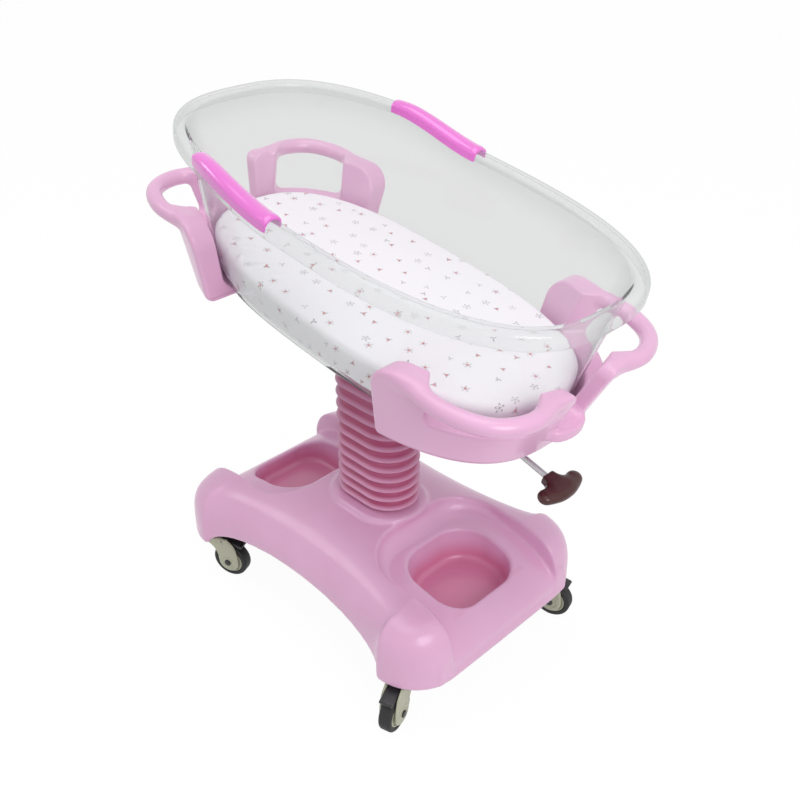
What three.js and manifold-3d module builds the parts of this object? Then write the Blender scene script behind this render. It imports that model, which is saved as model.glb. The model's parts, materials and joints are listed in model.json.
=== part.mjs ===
// Reclining hospital bassinet: a clear tub in two moulded end cradles, tilting on a
// height-adjustable column that stands on a moulded base with four braked casters.
// Millimetres, +Z up, +X towards the foot end of the tub, origin on the floor below the middle.

import * as THREE from "three";
import { mergeVertices } from "three/addons/utils/BufferGeometryUtils.js";
import Module from "manifold-3d";

const wasm = await Module();
wasm.setup();

// Fits and facets
const SEAT_GAP = 0.3;
const RUNNING_GAP = 0.4;
const ROUND_SIDES = 12;
const PIN_SIDES = 8;
const WHEEL_SIDES = 16;
const OVAL_SIDES = 40;
const SOFT_SIDES = 24;
const THROUGH = 400;
const OVERCUT = 1;

// Rest pose
const REST_TILT = 9;
const TRAIL_ANGLES = { head_near: 22, head_far: 106, foot_near: -74, foot_far: 15 };

// Casters
const WHEEL_RADIUS = 37.5;
const WHEEL_WIDTH = 24;
const TYRE_DEPTH = 10;
const TREAD_ROUND = 5;
const TYRE_BEVEL = 1;
const HUB_RECESS = 3;
const AXLE_RADIUS = 4.5;
const AXLE_HEAD_RADIUS = 7;
const AXLE_HEAD = 2.5;
const FORK_TRAIL = 30;
const FORK_ARM = 5;
const FORK_BOSS_RADIUS = 20;
const FORK_HEAD_RADIUS = 22;
const FORK_HEAD_HEIGHT = 16;
const WHEEL_ROOM = 2.5;
const FORK_CROWN = 22.5;
const FORK_DIP = 8;
const STEM_RADIUS = 6;
const STEM_CAP_RADIUS = 19;
const STEM_CAP = 5;
const STEM_DEPTH = 14;
const PEDAL_LENGTH = 44;
const PEDAL_THICKNESS = 7;
const PEDAL_DROP = 12;
const PEDAL_PIN_RADIUS = 3;
const PEDAL_SETBACK = 1;
const PEDAL_EDGE = 0.5;
const STEM_END_GAP = 1;

// Base cover
const BASE_LENGTH = 684;
const BASE_WIDTH = 464;
const BASE_SHIFT = -14;
const BASE_WALL = 4;
const DECK_HEIGHT = 147;
const LEG_HEIGHT = 112;
const DECK_SOFTNESS = 2.3;
const LEG_SOFTNESS = 3.6;
const ARCH_LENGTH = 490;
const ARCH_RISE = 50;
const WAIST = 38;
const FOOT_CORNER = 96;
const FOOT_NOSE = 78;
const NOSE_POWER = 2.6;
const END_SHARE = 0.9995;
const TRAY_WIDTH = 276;
const TRAY_START = 104;
const TRAY_HEIGHT = 104;
const TRAY_CORNER = 80;
const WELL_LENGTH = 152;
const WELL_WIDTH = 184;
const WELL_START = 144;
const WELL_FLOOR = 40;
const WELL_CORNER = 62;
const WELL_DRAFT = 8;

// Chassis and caster places
const CASTER_INSET_X = 75;
const CASTER_INSET_Y = 43;
const CHASSIS_LIFT = 5;
const CHASSIS_THICKNESS = 24;
const CHASSIS_ARM_WIDTH = 32;
const CHASSIS_BLOCK_LENGTH = 176;
const CHASSIS_BLOCK_WIDTH = 124;
const CHASSIS_BOSS_RADIUS = 18;

// Column
const GUIDE_RADIUS = 36;
const GUIDE_WALL = 4;
const GUIDE_LENGTH = 272;
const GUIDE_FLANGE = 8;
const SLIDER_WALL = 4;
const SLIDER_LENGTH = 292;
const GAS_RADIUS = 14;
const GAS_LENGTH = 236;
const GAS_BORE_END = 20;
const GAS_ROD_RADIUS = 5;
const GAS_ROD_LENGTH = 275;
const PAD_RISE = 4;
const PAD_DEPTH = 16;
const PAD_MARGIN = 15;

// Bellows
const BELLOWS_LENGTH = 278;
const BELLOWS_HALF_X = 84;
const BELLOWS_HALF_Y = 58;
const BELLOWS_FOLD = 9;
const BELLOWS_FOLDS = 12;
const BELLOWS_WALL = 2.5;
const BELLOWS_STRETCH = 0.16;
const BELLOWS_SIDES = 12;
const BELLOWS_RING_HEIGHT = 5;

// Lift head and tilt axis
const HEAD_PLATE = 6;
const CHEEK_THICKNESS = 8;
const CHEEK_SPACING = 92;
const CHEEK_RADIUS = 19;
const PIVOT_RISE = 34.4;
const PIVOT_RADIUS = 8;
const SLEEVE_RADIUS = 14;

// Tilt frame
const RAIL_SPACING = 156;
const RAIL_WIDTH = 24;
const RAIL_HEIGHT = 24;
const CROSSBAR_PLACE = 112;
const SPINE_SPACING = 44;
const SPINE_WIDTH = 10;
const SADDLE_LENGTH = 46;
const SADDLE_INSET = 64;

// Tub
const TUB_LENGTH = 841;
const TUB_WIDTH = 473;
const TUB_POWER = 2.72;
const TUB_SHIFT = 4;
const TUB_SEAT = 42;
const TUB_DEPTH = 248;
const TUB_WALL = 5;
const TUB_FILLET = 28;
const WALL_SLOPE = 0.19;
const HEAD_RISE = 20;
const ROLL_WIDTH = 22;
const ROLL_CREST = 14;
const ROLL_RISE = 10;
const ROLL_ROUND = 14;
const ROLL_DROP = 28;
const SLOPE_INSET = 6;

// Grip covers on the sloping stretches of the rim
const GRIP_START = -218;
const GRIP_END = -20;
const GRIP_OUT = 4;
const GRIP_IN = 4;
const GRIP_TOP = 6;
const GRIP_SKIRT = 22;
const GRIP_POWER = 3.2;
const GRIP_STATIONS = 10;
const GRIP_END_SHARE = 0.35;
const GRIP_END_RUN = 8;

// Mattress and fitted sheet
const MATTRESS_HEIGHT = 70;
const MATTRESS_CLEARANCE = 4;
const MATTRESS_ROUND = 24;
const SHEET_THICKNESS = 1.5;
const SHEET_HEM = 70;
const MOUTH_BELOW = 10;
const MOUTH_ABOVE = 5;

// End cradles
const CRADLE_WALL = 24;
const CRADLE_CLEARANCE = 0.8;
const CRADLE_FLOOR = 16;
const CRADLE_LEDGE = 58;
const FOOT_CRADLE_START = 196;
const HEAD_CRADLE_START = 221;
const CRADLE_FLARE = 24;
const CRADLE_LEAN = 22;
const HEAD_CRADLE_GAP = 8;
const EAR_HEIGHT = 134;
const EAR_ROUND = 44;
const EAR_LENGTH = 86;
const SILL_HEIGHT = 58;
const NOTCH_WIDTH = 80;
const NOTCH_SILL = 44;
const NOTCH_ROUND = 8;
const UPRIGHT_WIDTH = 54;
const WINDOW_ROUND = 14;
const BOW_RADIUS = 13;
const BOW_REACH = 28;
const BOW_ROOT = 0.55;
const BOW_SHOULDER = 0.62;
const BOW_QUARTER = 0.25;
const LIP_REACH = 20;
const LIP_HEIGHT = 20;
const LIP_SINK = 4;
const LIP_SHARE = 0.5;

// Release lever
const LEVER_PLACE = 205;
const LEVER_DROP = 10;
const LEVER_DIP = 6.5;
const LEVER_LENGTH = 206;
const LEVER_ROD_RADIUS = 5;
const LEVER_EYE_RADIUS = 10;
const LEVER_PIN_RADIUS = 4;
const LEVER_EYE_WIDTH = 20;
const LEVER_EAR = 6;
const LEVER_EYE_STEP = 1;
const LEVER_PIN_END = 2;
const T_GRIP_WIDTH = 96;
const T_GRIP_REACH = 50;
const T_GRIP_BAR = 27;
const T_GRIP_NECK = 24;
const T_GRIP_THICKNESS = 20;
const T_GRIP_ROUND = 0.9;

// Places that follow from the sizes above
const CASTER_HEIGHT = 2 * WHEEL_RADIUS + FORK_CROWN + STEM_CAP - TREAD_ROUND / 2;
const DECK_TOP = DECK_HEIGHT + PAD_RISE;
const COLUMN_FOOT = CHASSIS_LIFT + CHASSIS_THICKNESS + SEAT_GAP;
const BELLOWS_FOOT = DECK_TOP + SEAT_GAP;
const HEAD_PLATE_FOOT = BELLOWS_FOOT + BELLOWS_LENGTH + SEAT_GAP;
const PIVOT_HEIGHT = HEAD_PLATE_FOOT + HEAD_PLATE + PIVOT_RISE;
const SLIDER_RADIUS = GUIDE_RADIUS - GUIDE_WALL - RUNNING_GAP;
const RIM_LOW = TUB_SEAT + TUB_DEPTH;
const RIM_HIGH = RIM_LOW + HEAD_RISE;
const CRADLE_BOTTOM = TUB_SEAT - SEAT_GAP - CRADLE_FLOOR;
const EAR_TOP = TUB_SEAT + EAR_HEIGHT;
const RAIL_TOP = CRADLE_BOTTOM - SEAT_GAP;
const MATTRESS_FOOT = TUB_SEAT + TUB_WALL + SHEET_THICKNESS + 2 * SEAT_GAP;

// Colours
const finish = (color, roughness, metalness = 0) => ({ color, roughness, metalness });
const PINK = finish("#f1b3d3", 0.38);
const PINK_RUBBER = finish("#e88ab8", 0.5);
const MAGENTA = finish("#e75ccb", 0.25);
const CLEAR = finish("#dfe6e2", 0.05);
const WHITE_CLOTH = finish("#f7f4f8", 0.95);
const FOAM = finish("#efe9dc", 0.95);
const STEEL = finish("#9a9da0", 0.4, 0.9);
const DARK_STEEL = finish("#4a4d50", 0.5, 0.8);
const BLACK = finish("#1c1d1f", 0.6);
const FORK_GREY = finish("#b7b7a3", 0.55);
const DARK_RED = finish("#5a1517", 0.35);

// Solids and meshes

function solidOf(geometry) {
  const bare = geometry.clone();
  bare.deleteAttribute("normal");
  bare.deleteAttribute("uv");
  const merged = mergeVertices(bare, 1e-4);
  return new wasm.Manifold(new wasm.Mesh({
    numProp: 3,
    vertProperties: new Float32Array(merged.attributes.position.array),
    triVerts: new Uint32Array(merged.index.array),
  }));
}

function geometryOf(solid) {
  const { vertProperties, triVerts } = solid.getMesh();
  const geometry = new THREE.BufferGeometry();
  geometry.setAttribute("position", new THREE.BufferAttribute(vertProperties, 3));
  geometry.setIndex(new THREE.BufferAttribute(triVerts, 1));
  geometry.computeVertexNormals();
  return geometry;
}

function addPiece(group, name, shape, look) {
  const geometry = shape instanceof THREE.BufferGeometry ? shape : geometryOf(shape);
  const mesh = new THREE.Mesh(geometry, new THREE.MeshStandardMaterial(look));
  mesh.name = name;
  group.add(mesh);
}

function joined(...solids) {
  return solids.reduce((whole, next) => whole.add(next));
}

function cut(solid, ...cutters) {
  return cutters.reduce((rest, cutter) => rest.subtract(cutter), solid);
}

function block(x, y, z, at = [0, 0, 0]) {
  return solidOf(new THREE.BoxGeometry(x, y, z).translate(...at));
}

// A round bar of one radius, standing on Z from bottom to top
function upright(radius, bottom, top, x = 0, y = 0, sides = ROUND_SIDES) {
  const bar = new THREE.CylinderGeometry(radius, radius, top - bottom, sides);
  bar.rotateX(Math.PI / 2);
  return solidOf(bar.translate(x, y, (top + bottom) / 2));
}

// A round bar lying along Y, centred on y = 0
function crossPin(radius, length, x, z, sides = ROUND_SIDES) {
  return solidOf(new THREE.CylinderGeometry(radius, radius, length, sides).translate(x, 0, z));
}

// Extrusions of a flat outline: standing on XY, drawn in XZ and in YZ
function standing(shape, bottom, top, curveSegments = 8) {
  const options = { depth: top - bottom, bevelEnabled: false, curveSegments };
  return solidOf(new THREE.ExtrudeGeometry(shape, options).translate(0, 0, bottom));
}

function acrossY(shape, width, curveSegments = 8) {
  const options = { depth: width, bevelEnabled: false, curveSegments };
  const geometry = new THREE.ExtrudeGeometry(shape, options).translate(0, 0, -width / 2);
  return solidOf(geometry.rotateX(Math.PI / 2));
}

function alongX(shape, from, to, curveSegments = 8) {
  const options = { depth: to - from, bevelEnabled: false, curveSegments };
  const geometry = new THREE.ExtrudeGeometry(shape, options).translate(0, 0, from);
  return solidOf(geometry.rotateX(Math.PI / 2).rotateZ(Math.PI / 2));
}

function tube(curve, radius, steps, sides = 10) {
  const section = new THREE.Shape().absarc(0, 0, radius, 0, 2 * Math.PI);
  const options = { steps, extrudePath: curve, curveSegments: sides / 2, bevelEnabled: false };
  return solidOf(new THREE.ExtrudeGeometry(section, options));
}

// A stadium outline with its long axis on X
function stadium(halfX, halfY) {
  const straight = halfX - halfY;
  const shape = new THREE.Shape();
  shape.absarc(straight, 0, halfY, -Math.PI / 2, Math.PI / 2);
  shape.absarc(-straight, 0, halfY, Math.PI / 2, (3 * Math.PI) / 2);
  return shape;
}

// A rectangle from (left, bottom) to (right, top) with one radius per corner
function roundedBox(left, bottom, right, top, lowLeft, lowRight, highRight, highLeft) {
  const shape = new THREE.Shape();
  shape.moveTo(left + lowLeft, bottom);
  shape.lineTo(right - lowRight, bottom);
  shape.absarc(right - lowRight, bottom + lowRight, lowRight, -Math.PI / 2, 0);
  shape.lineTo(right, top - highRight);
  shape.absarc(right - highRight, top - highRight, highRight, 0, Math.PI / 2);
  shape.lineTo(left + highLeft, top);
  shape.absarc(left + highLeft, top - highLeft, highLeft, Math.PI / 2, Math.PI);
  shape.lineTo(left, bottom + lowLeft);
  shape.absarc(left + lowLeft, bottom + lowLeft, lowLeft, Math.PI, (3 * Math.PI) / 2);
  return shape;
}

function capTriangles(ring) {
  const normal = new THREE.Vector3();
  ring.forEach((point, i) => {
    const next = ring[(i + 1) % ring.length];
    normal.add(new THREE.Vector3().crossVectors(point, next));
  });
  normal.normalize();
  const side = new THREE.Vector3().subVectors(ring[1], ring[0]);
  side.addScaledVector(normal, -side.dot(normal)).normalize();
  const up = new THREE.Vector3().crossVectors(normal, side);
  const flat = ring.map((point) => new THREE.Vector2(point.dot(side), point.dot(up)));
  return THREE.ShapeUtils.triangulateShape(flat, []);
}

// A skin through rings of equally many points, capped at both ends or closed on itself
function loft(rings, closed = false) {
  const count = rings[0].length;
  const positions = rings.flat().flatMap((point) => point.toArray());
  const index = [];
  const spans = closed ? rings.length : rings.length - 1;
  for (let r = 0; r < spans; r += 1) {
    const low = r * count;
    const high = ((r + 1) % rings.length) * count;
    for (let i = 0; i < count; i += 1) {
      const next = (i + 1) % count;
      index.push(low + i, low + next, high + next, low + i, high + next, high + i);
    }
  }
  if (!closed) {
    const last = (rings.length - 1) * count;
    capTriangles(rings[0]).forEach(([a, b, c]) => index.push(c, b, a));
    capTriangles(rings.at(-1)).forEach(([a, b, c]) => index.push(last + a, last + b, last + c));
  }
  const geometry = new THREE.BufferGeometry();
  geometry.setAttribute("position", new THREE.Float32BufferAttribute(positions, 3));
  geometry.setIndex(index);
  geometry.computeVertexNormals();
  return geometry;
}

function signedPower(value, power) {
  return Math.sign(value) * Math.abs(value) ** power;
}

// Base cover: one crowned moulding, hollow below, with two trays and their wells

const halfBase = BASE_LENGTH / 2;

function archShare(x) {
  const share = Math.min(1, Math.abs(x) / (ARCH_LENGTH / 2));
  return Math.sqrt(1 - share * share);
}

function noseShare(distance, length, power) {
  const share = THREE.MathUtils.clamp(distance / length, 0, 1);
  return (1 - share ** power) ** (1 / power);
}

function coverSection(x, wall, steps) {
  const reach = halfBase - wall;
  const foot = 1 - archShare(x);
  const corner = FOOT_CORNER - wall;
  const cornerShare = noseShare(Math.abs(x) - (reach - corner), corner, 2);
  const halfWidth = BASE_WIDTH / 2 - WAIST * archShare(x) - wall - corner * (1 - cornerShare);
  const crown = THREE.MathUtils.lerp(DECK_HEIGHT, LEG_HEIGHT, (Math.abs(x) / halfBase) ** 2) - wall;
  const spring = ARCH_RISE * archShare(x);
  const bottom = wall > 0 ? -THROUGH / 2 : spring;
  const first = wall > 0 ? 0 : 1;
  const height = (crown - spring) * noseShare(Math.abs(x) - (reach - FOOT_NOSE), FOOT_NOSE, NOSE_POWER);
  const power = THREE.MathUtils.lerp(DECK_SOFTNESS, LEG_SOFTNESS, foot);
  const ring = [new THREE.Vector3(x, -halfWidth, bottom), new THREE.Vector3(x, halfWidth, bottom)];
  for (let i = first; i <= steps - first; i += 1) {
    const angle = (Math.PI * i) / steps;
    const y = halfWidth * signedPower(Math.cos(angle), 2 / power);
    ring.push(new THREE.Vector3(x, y, spring + height * Math.sin(angle) ** (2 / power)));
  }
  return ring;
}

function coverBody(wall, stations, steps) {
  const rings = [];
  for (let i = -stations; i <= stations; i += 1) {
    const angle = ((i / stations) * Math.PI) / 2;
    rings.push(coverSection((halfBase - wall) * END_SHARE * Math.sin(angle), wall, steps));
  }
  return solidOf(loft(rings));
}

// What is taken off the crown above a tray, whose top falls in a long nose to the end wall
function trayCutter(wall) {
  const start = TRAY_START - wall;
  const noseLength = halfBase - TRAY_START;
  const side = new THREE.Shape();
  side.moveTo(start, THROUGH);
  const steps = 7;
  for (let i = 0; i <= steps; i += 1) {
    const along = noseLength * Math.sin(((i / steps) * Math.PI) / 2);
    const top = TRAY_HEIGHT * noseShare(along, noseLength, NOSE_POWER);
    side.lineTo(start + along, Math.max(top - wall, 0));
  }
  side.lineTo(halfBase + THROUGH, 0);
  side.lineTo(halfBase + THROUGH, THROUGH);
  const halfWidth = TRAY_WIDTH / 2 + wall;
  const plan = roundedBox(start, -halfWidth, 2 * halfBase, halfWidth, TRAY_CORNER, 0, 0, TRAY_CORNER);
  return acrossY(side, BASE_WIDTH).intersect(standing(plan, -THROUGH, THROUGH));
}

function wellRing(grow, height) {
  const middle = WELL_START + WELL_LENGTH / 2;
  const draft = WELL_DRAFT * (1 - (height - WELL_FLOOR) / (TRAY_HEIGHT - WELL_FLOOR)) - grow;
  const halfX = WELL_LENGTH / 2 - draft;
  const halfY = WELL_WIDTH / 2 - draft;
  const inner = Math.min(WELL_CORNER, halfX - OVERCUT);
  const outline = roundedBox(-halfX, -halfY, halfX, halfY, inner, inner / 2, inner / 2, inner);
  return outline.getPoints(3).slice(0, -1).map((p) => new THREE.Vector3(middle + p.x, p.y, height));
}

function wellSolid(grow, bottom, top) {
  return solidOf(loft([wellRing(grow, bottom), wellRing(grow, top)]));
}

function baseCover() {
  const cutters = (wall) => [trayCutter(wall), trayCutter(wall).rotate([0, 0, 180])];
  const outside = cut(coverBody(0, 8, 10), ...cutters(0));
  const inside = cut(coverBody(BASE_WALL, 6, 8), ...cutters(BASE_WALL));
  const cup = wellSolid(BASE_WALL, WELL_FLOOR - BASE_WALL, DECK_TOP);
  const cups = joined(cup, cup.rotate([0, 0, 180])).intersect(outside);
  const well = wellSolid(0, WELL_FLOOR, DECK_TOP);
  const shell = joined(cut(outside, inside), cups);
  const pad = standing(
    stadium(BELLOWS_HALF_X + PAD_MARGIN, BELLOWS_HALF_Y + PAD_MARGIN),
    DECK_TOP - PAD_DEPTH,
    DECK_TOP,
  ).translate([-BASE_SHIFT, 0, 0]);
  const bore = upright(GUIDE_RADIUS + RUNNING_GAP, 0, THROUGH, -BASE_SHIFT);
  return cut(joined(shell, pad), well, well.rotate([0, 0, 180]), bore);
}

// Chassis: a welded cross under the cover, with a boss for each caster stem

const casterX = BASE_LENGTH / 2 - CASTER_INSET_X;
const casterY = BASE_WIDTH / 2 - CASTER_INSET_Y;
const casterPlaces = {
  head_near: [-casterX, -casterY],
  head_far: [-casterX, casterY],
  foot_near: [casterX, -casterY],
  foot_far: [casterX, casterY],
};

function chassis() {
  const top = CHASSIS_LIFT + CHASSIS_THICKNESS;
  const middle = CHASSIS_LIFT + CHASSIS_THICKNESS / 2;
  let frame = block(CHASSIS_BLOCK_LENGTH, CHASSIS_BLOCK_WIDTH, CHASSIS_THICKNESS)
    .translate([-BASE_SHIFT, 0, middle]);
  for (const [x, y] of Object.values(casterPlaces)) {
    const arm = block(Math.hypot(x, y), CHASSIS_ARM_WIDTH, CHASSIS_THICKNESS)
      .rotate([0, 0, THREE.MathUtils.radToDeg(Math.atan2(y, x))])
      .translate([x / 2, y / 2, middle]);
    frame = joined(frame, arm, upright(CHASSIS_BOSS_RADIUS, CHASSIS_LIFT, top, x, y));
  }
  const hole = ([x, y]) => upright(STEM_RADIUS + SEAT_GAP, 0, top + OVERCUT, x, y);
  return cut(frame, ...Object.values(casterPlaces).map(hole));
}

// Column: guide tube and gas spring on the chassis, slider tube and rod under the lift head

function guideTube() {
  const top = COLUMN_FOOT + GUIDE_LENGTH;
  const flangeTop = DECK_TOP - PAD_DEPTH - SEAT_GAP;
  const flange = standing(stadium(BELLOWS_HALF_X, BELLOWS_HALF_Y), flangeTop - GUIDE_FLANGE, flangeTop);
  const body = joined(upright(GUIDE_RADIUS, COLUMN_FOOT, top), flange);
  return cut(body, upright(GUIDE_RADIUS - GUIDE_WALL, COLUMN_FOOT - OVERCUT, top + OVERCUT));
}

function sliderTube() {
  const top = HEAD_PLATE_FOOT - SEAT_GAP;
  const body = upright(SLIDER_RADIUS, top - SLIDER_LENGTH, top);
  return cut(body, upright(SLIDER_RADIUS - SLIDER_WALL, top - SLIDER_LENGTH - OVERCUT, top + OVERCUT));
}

function gasCylinder() {
  const top = COLUMN_FOOT + GAS_LENGTH;
  const body = upright(GAS_RADIUS, COLUMN_FOOT, top);
  return cut(body, upright(GAS_ROD_RADIUS + RUNNING_GAP, COLUMN_FOOT + GAS_BORE_END, top + OVERCUT));
}

function gasRod() {
  const top = HEAD_PLATE_FOOT - SEAT_GAP;
  return upright(GAS_ROD_RADIUS, top - GAS_ROD_LENGTH, top);
}

// Bellows: oblong folds, closer together towards the foot

function oblongRing(inset, height) {
  const halfX = BELLOWS_HALF_X - inset;
  const halfY = BELLOWS_HALF_Y - inset;
  const ring = [];
  for (let i = 0; i < BELLOWS_SIDES; i += 1) {
    const angle = (2 * Math.PI * (i + 0.5)) / BELLOWS_SIDES;
    const x = Math.sign(Math.cos(angle)) * (halfX - halfY) + halfY * Math.cos(angle);
    ring.push(new THREE.Vector3(x, halfY * Math.sin(angle), height));
  }
  return ring;
}

function bellows() {
  const levels = 2 * BELLOWS_FOLDS + 1;
  const wall = (extra) => Array.from({ length: levels }, (_, level) => {
    const share = level / (levels - 1);
    const height = BELLOWS_LENGTH * (share + BELLOWS_STRETCH * (share * share - share));
    const valley = level % 2 === 0 ? BELLOWS_FOLD : 0;
    return oblongRing(valley + extra, BELLOWS_FOOT + height);
  });
  return loft([...wall(0), ...wall(BELLOWS_WALL).reverse()], true);
}

// The clamp ring inside the foot of the bellows holds it to the deck
function bellowsRing() {
  const inset = BELLOWS_FOLD + BELLOWS_WALL + RUNNING_GAP;
  const top = BELLOWS_FOOT + BELLOWS_RING_HEIGHT;
  const ring = solidOf(loft([oblongRing(inset, BELLOWS_FOOT), oblongRing(inset, top)]));
  return cut(ring, upright(GUIDE_RADIUS + RUNNING_GAP, 0, THROUGH));
}

// Lift head: plate on the slider, with two cheeks that carry the tilt pin

function liftHead() {
  const plateTop = HEAD_PLATE_FOOT + HEAD_PLATE;
  const plate = standing(stadium(BELLOWS_HALF_X, BELLOWS_HALF_Y), HEAD_PLATE_FOOT, plateTop);
  const outline = new THREE.Shape();
  outline.moveTo(-BELLOWS_HALF_Y, plateTop - OVERCUT);
  outline.lineTo(BELLOWS_HALF_Y, plateTop - OVERCUT);
  outline.lineTo(CHEEK_RADIUS, PIVOT_HEIGHT);
  outline.absarc(0, PIVOT_HEIGHT, CHEEK_RADIUS, 0, Math.PI);
  const cheek = acrossY(outline, CHEEK_THICKNESS);
  const offset = CHEEK_SPACING / 2;
  const body = joined(plate, cheek.translate([0, offset, 0]), cheek.translate([0, -offset, 0]));
  return cut(body, crossPin(PIVOT_RADIUS + SEAT_GAP, THROUGH, 0, PIVOT_HEIGHT));
}

// Tub: one skin from the underside up the wall, over the rim and down the inside

const SLOPE_START = GRIP_START + SLOPE_INSET;
const SLOPE_END = GRIP_END - SLOPE_INSET;

function rimHeight(x) {
  return RIM_HIGH - HEAD_RISE * THREE.MathUtils.smoothstep(x, SLOPE_START, SLOPE_END);
}

// How far the wall's outside lies within the rim's outer edge
function wallInset(height) {
  return ROLL_WIDTH + (RIM_LOW - ROLL_RISE - height) * WALL_SLOPE;
}

function tubPoint(angle, inset, height) {
  const x = (TUB_LENGTH / 2 - inset) * signedPower(Math.cos(angle), 2 / TUB_POWER);
  const y = (TUB_WIDTH / 2 - inset) * signedPower(Math.sin(angle), 2 / TUB_POWER);
  return new THREE.Vector3(TUB_SHIFT + x, y, height);
}

// A ring round the tub, whose height may follow the rim
function tubRing(insetAt, heightAt, sides = OVAL_SIDES) {
  return Array.from({ length: sides }, (_, i) => {
    const angle = (2 * Math.PI * i) / sides;
    const height = heightAt(tubPoint(angle, 0, 0).x);
    return tubPoint(angle, insetAt(height), height);
  });
}

const level = (height) => () => height;

// Rings of a rounded bottom edge, from the flat outwards, where the wall stands grow away
function bottomEdge(bottom, radius, grow, steps, sides) {
  return Array.from({ length: steps + 1 }, (_, i) => {
    const angle = ((i / steps) * Math.PI) / 2;
    const height = bottom + radius * (1 - Math.cos(angle));
    const inset = wallInset(bottom + radius) - grow + radius * (1 - Math.sin(angle));
    return tubRing(() => inset, level(height), sides);
  });
}

// Rings over the rolled rim, from its outer edge to the wall, at a depth under its skin
function rollRings(depth, drop) {
  const outer = [0, 0.5].map((share) => (share * Math.PI) / 2);
  const inner = [1, 0.5, 0].map((share) => (share * Math.PI) / 2);
  const above = (z) => (x) => rimHeight(x) + z;
  const reach = (height) => wallInset(height) + TUB_WALL - depth - ROLL_CREST;
  return [
    tubRing(() => depth, above(-drop)),
    ...outer.map((a) => tubRing(
      () => ROLL_CREST - (ROLL_CREST - depth) * Math.cos(a),
      above(-ROLL_ROUND + (ROLL_ROUND - depth) * Math.sin(a)),
    )),
    ...inner.map((a) => tubRing(
      (height) => ROLL_CREST + reach(height) * Math.cos(a),
      above(-ROLL_RISE + (ROLL_RISE - depth) * Math.sin(a)),
    )),
  ];
}

function tub() {
  const outside = bottomEdge(TUB_SEAT, TUB_FILLET, 0, 3);
  const inside = bottomEdge(TUB_SEAT + TUB_WALL, TUB_FILLET - TUB_WALL, -TUB_WALL, 3);
  const underside = rollRings(TUB_WALL, ROLL_DROP).reverse();
  return loft([...outside, ...underside, ...rollRings(0, ROLL_DROP), ...inside.reverse()]);
}

// Room for the rolled rim inside a cover that is clipped over it
function rollRoom() {
  const low = (x) => rimHeight(x) - 2 * ROLL_DROP;
  const inner = (height) => wallInset(height) + TUB_WALL + RUNNING_GAP;
  const skin = rollRings(-RUNNING_GAP, 2 * ROLL_DROP);
  return solidOf(loft([...skin, tubRing(inner, low)], true));
}

// Outline of a cover across the rim, slimmer at its two ends
function gripSection(share) {
  const fade = Math.sqrt(Math.min(1, GRIP_END_RUN * share, GRIP_END_RUN * (1 - share)));
  const ease = THREE.MathUtils.lerp(GRIP_END_SHARE, 1, fade);
  const innerFace = -ROLL_WIDTH - TUB_WALL - RUNNING_GAP - GRIP_IN * ease;
  const outerFace = RUNNING_GAP + GRIP_OUT * ease;
  const crest = RUNNING_GAP + GRIP_TOP * ease;
  const points = [[outerFace, -GRIP_SKIRT], [innerFace, -GRIP_SKIRT]];
  const steps = 8;
  for (let i = 0; i <= steps; i += 1) {
    const angle = Math.PI * (1 - i / steps);
    const across = ((outerFace - innerFace) / 2) * signedPower(Math.cos(angle), 2 / GRIP_POWER);
    const rise = (crest + GRIP_TOP) * signedPower(Math.sin(angle), 2 / GRIP_POWER);
    points.push([(innerFace + outerFace) / 2 + across, rise - GRIP_TOP]);
  }
  return points;
}

function rimSide(x) {
  const share = Math.abs((x - TUB_SHIFT) / (TUB_LENGTH / 2));
  return (TUB_WIDTH / 2) * (1 - share ** TUB_POWER) ** (1 / TUB_POWER);
}

function grip(side) {
  const rings = Array.from({ length: GRIP_STATIONS }, (_, i) => {
    const share = i / (GRIP_STATIONS - 1);
    const x = THREE.MathUtils.lerp(GRIP_START, GRIP_END, share);
    const slope = rimSide(x + 1) - rimSide(x - 1);
    const out = new THREE.Vector3(-slope / 2, 1, 0).normalize();
    return gripSection(share).map(([n, z]) => new THREE.Vector3(
      x + n * out.x,
      side * (rimSide(x) + n * out.y),
      rimHeight(x) + z,
    ));
  });
  return cut(solidOf(side > 0 ? loft(rings.reverse()) : loft(rings)), rollRoom());
}

// Mattress, and the fitted sheet drawn over it

function mattressRings(grow, top, sides = SOFT_SIDES) {
  const gap = -TUB_WALL - MATTRESS_CLEARANCE + grow;
  const shoulder = top - MATTRESS_ROUND / 2 - grow;
  const low = bottomEdge(MATTRESS_FOOT - grow, MATTRESS_ROUND + grow, gap, 1, sides);
  const round = MATTRESS_ROUND / 2 + grow;
  const high = [0, 0.5, 1].map((share) => {
    const angle = (share * Math.PI) / 2;
    const inset = wallInset(shoulder) - gap + round * (1 - Math.cos(angle));
    return tubRing(() => inset, level(shoulder + round * Math.sin(angle)), sides);
  });
  return [...low, ...high];
}

function mattress() {
  return loft(mattressRings(0, MATTRESS_FOOT + MATTRESS_HEIGHT));
}

function sheet() {
  const top = MATTRESS_FOOT + MATTRESS_HEIGHT;
  const inside = solidOf(loft(mattressRings(SEAT_GAP, top + SEAT_GAP)));
  const grow = SEAT_GAP + SHEET_THICKNESS;
  const outside = solidOf(loft(mattressRings(grow, top + grow)));
  const inset = wallInset(MATTRESS_FOOT) + TUB_WALL + SHEET_HEM;
  const mouthRing = (height) => tubRing(() => inset, level(height), SOFT_SIDES);
  const mouth = loft([mouthRing(MATTRESS_FOOT - MOUTH_BELOW), mouthRing(MATTRESS_FOOT + MOUTH_ABOVE)]);
  return cut(outside, inside, solidOf(mouth));
}

// End cradle: a moulded shell round the foot of the tub with two ears, two uprights,
// two windows under bow handles, and a notch with a lip at the end

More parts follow.
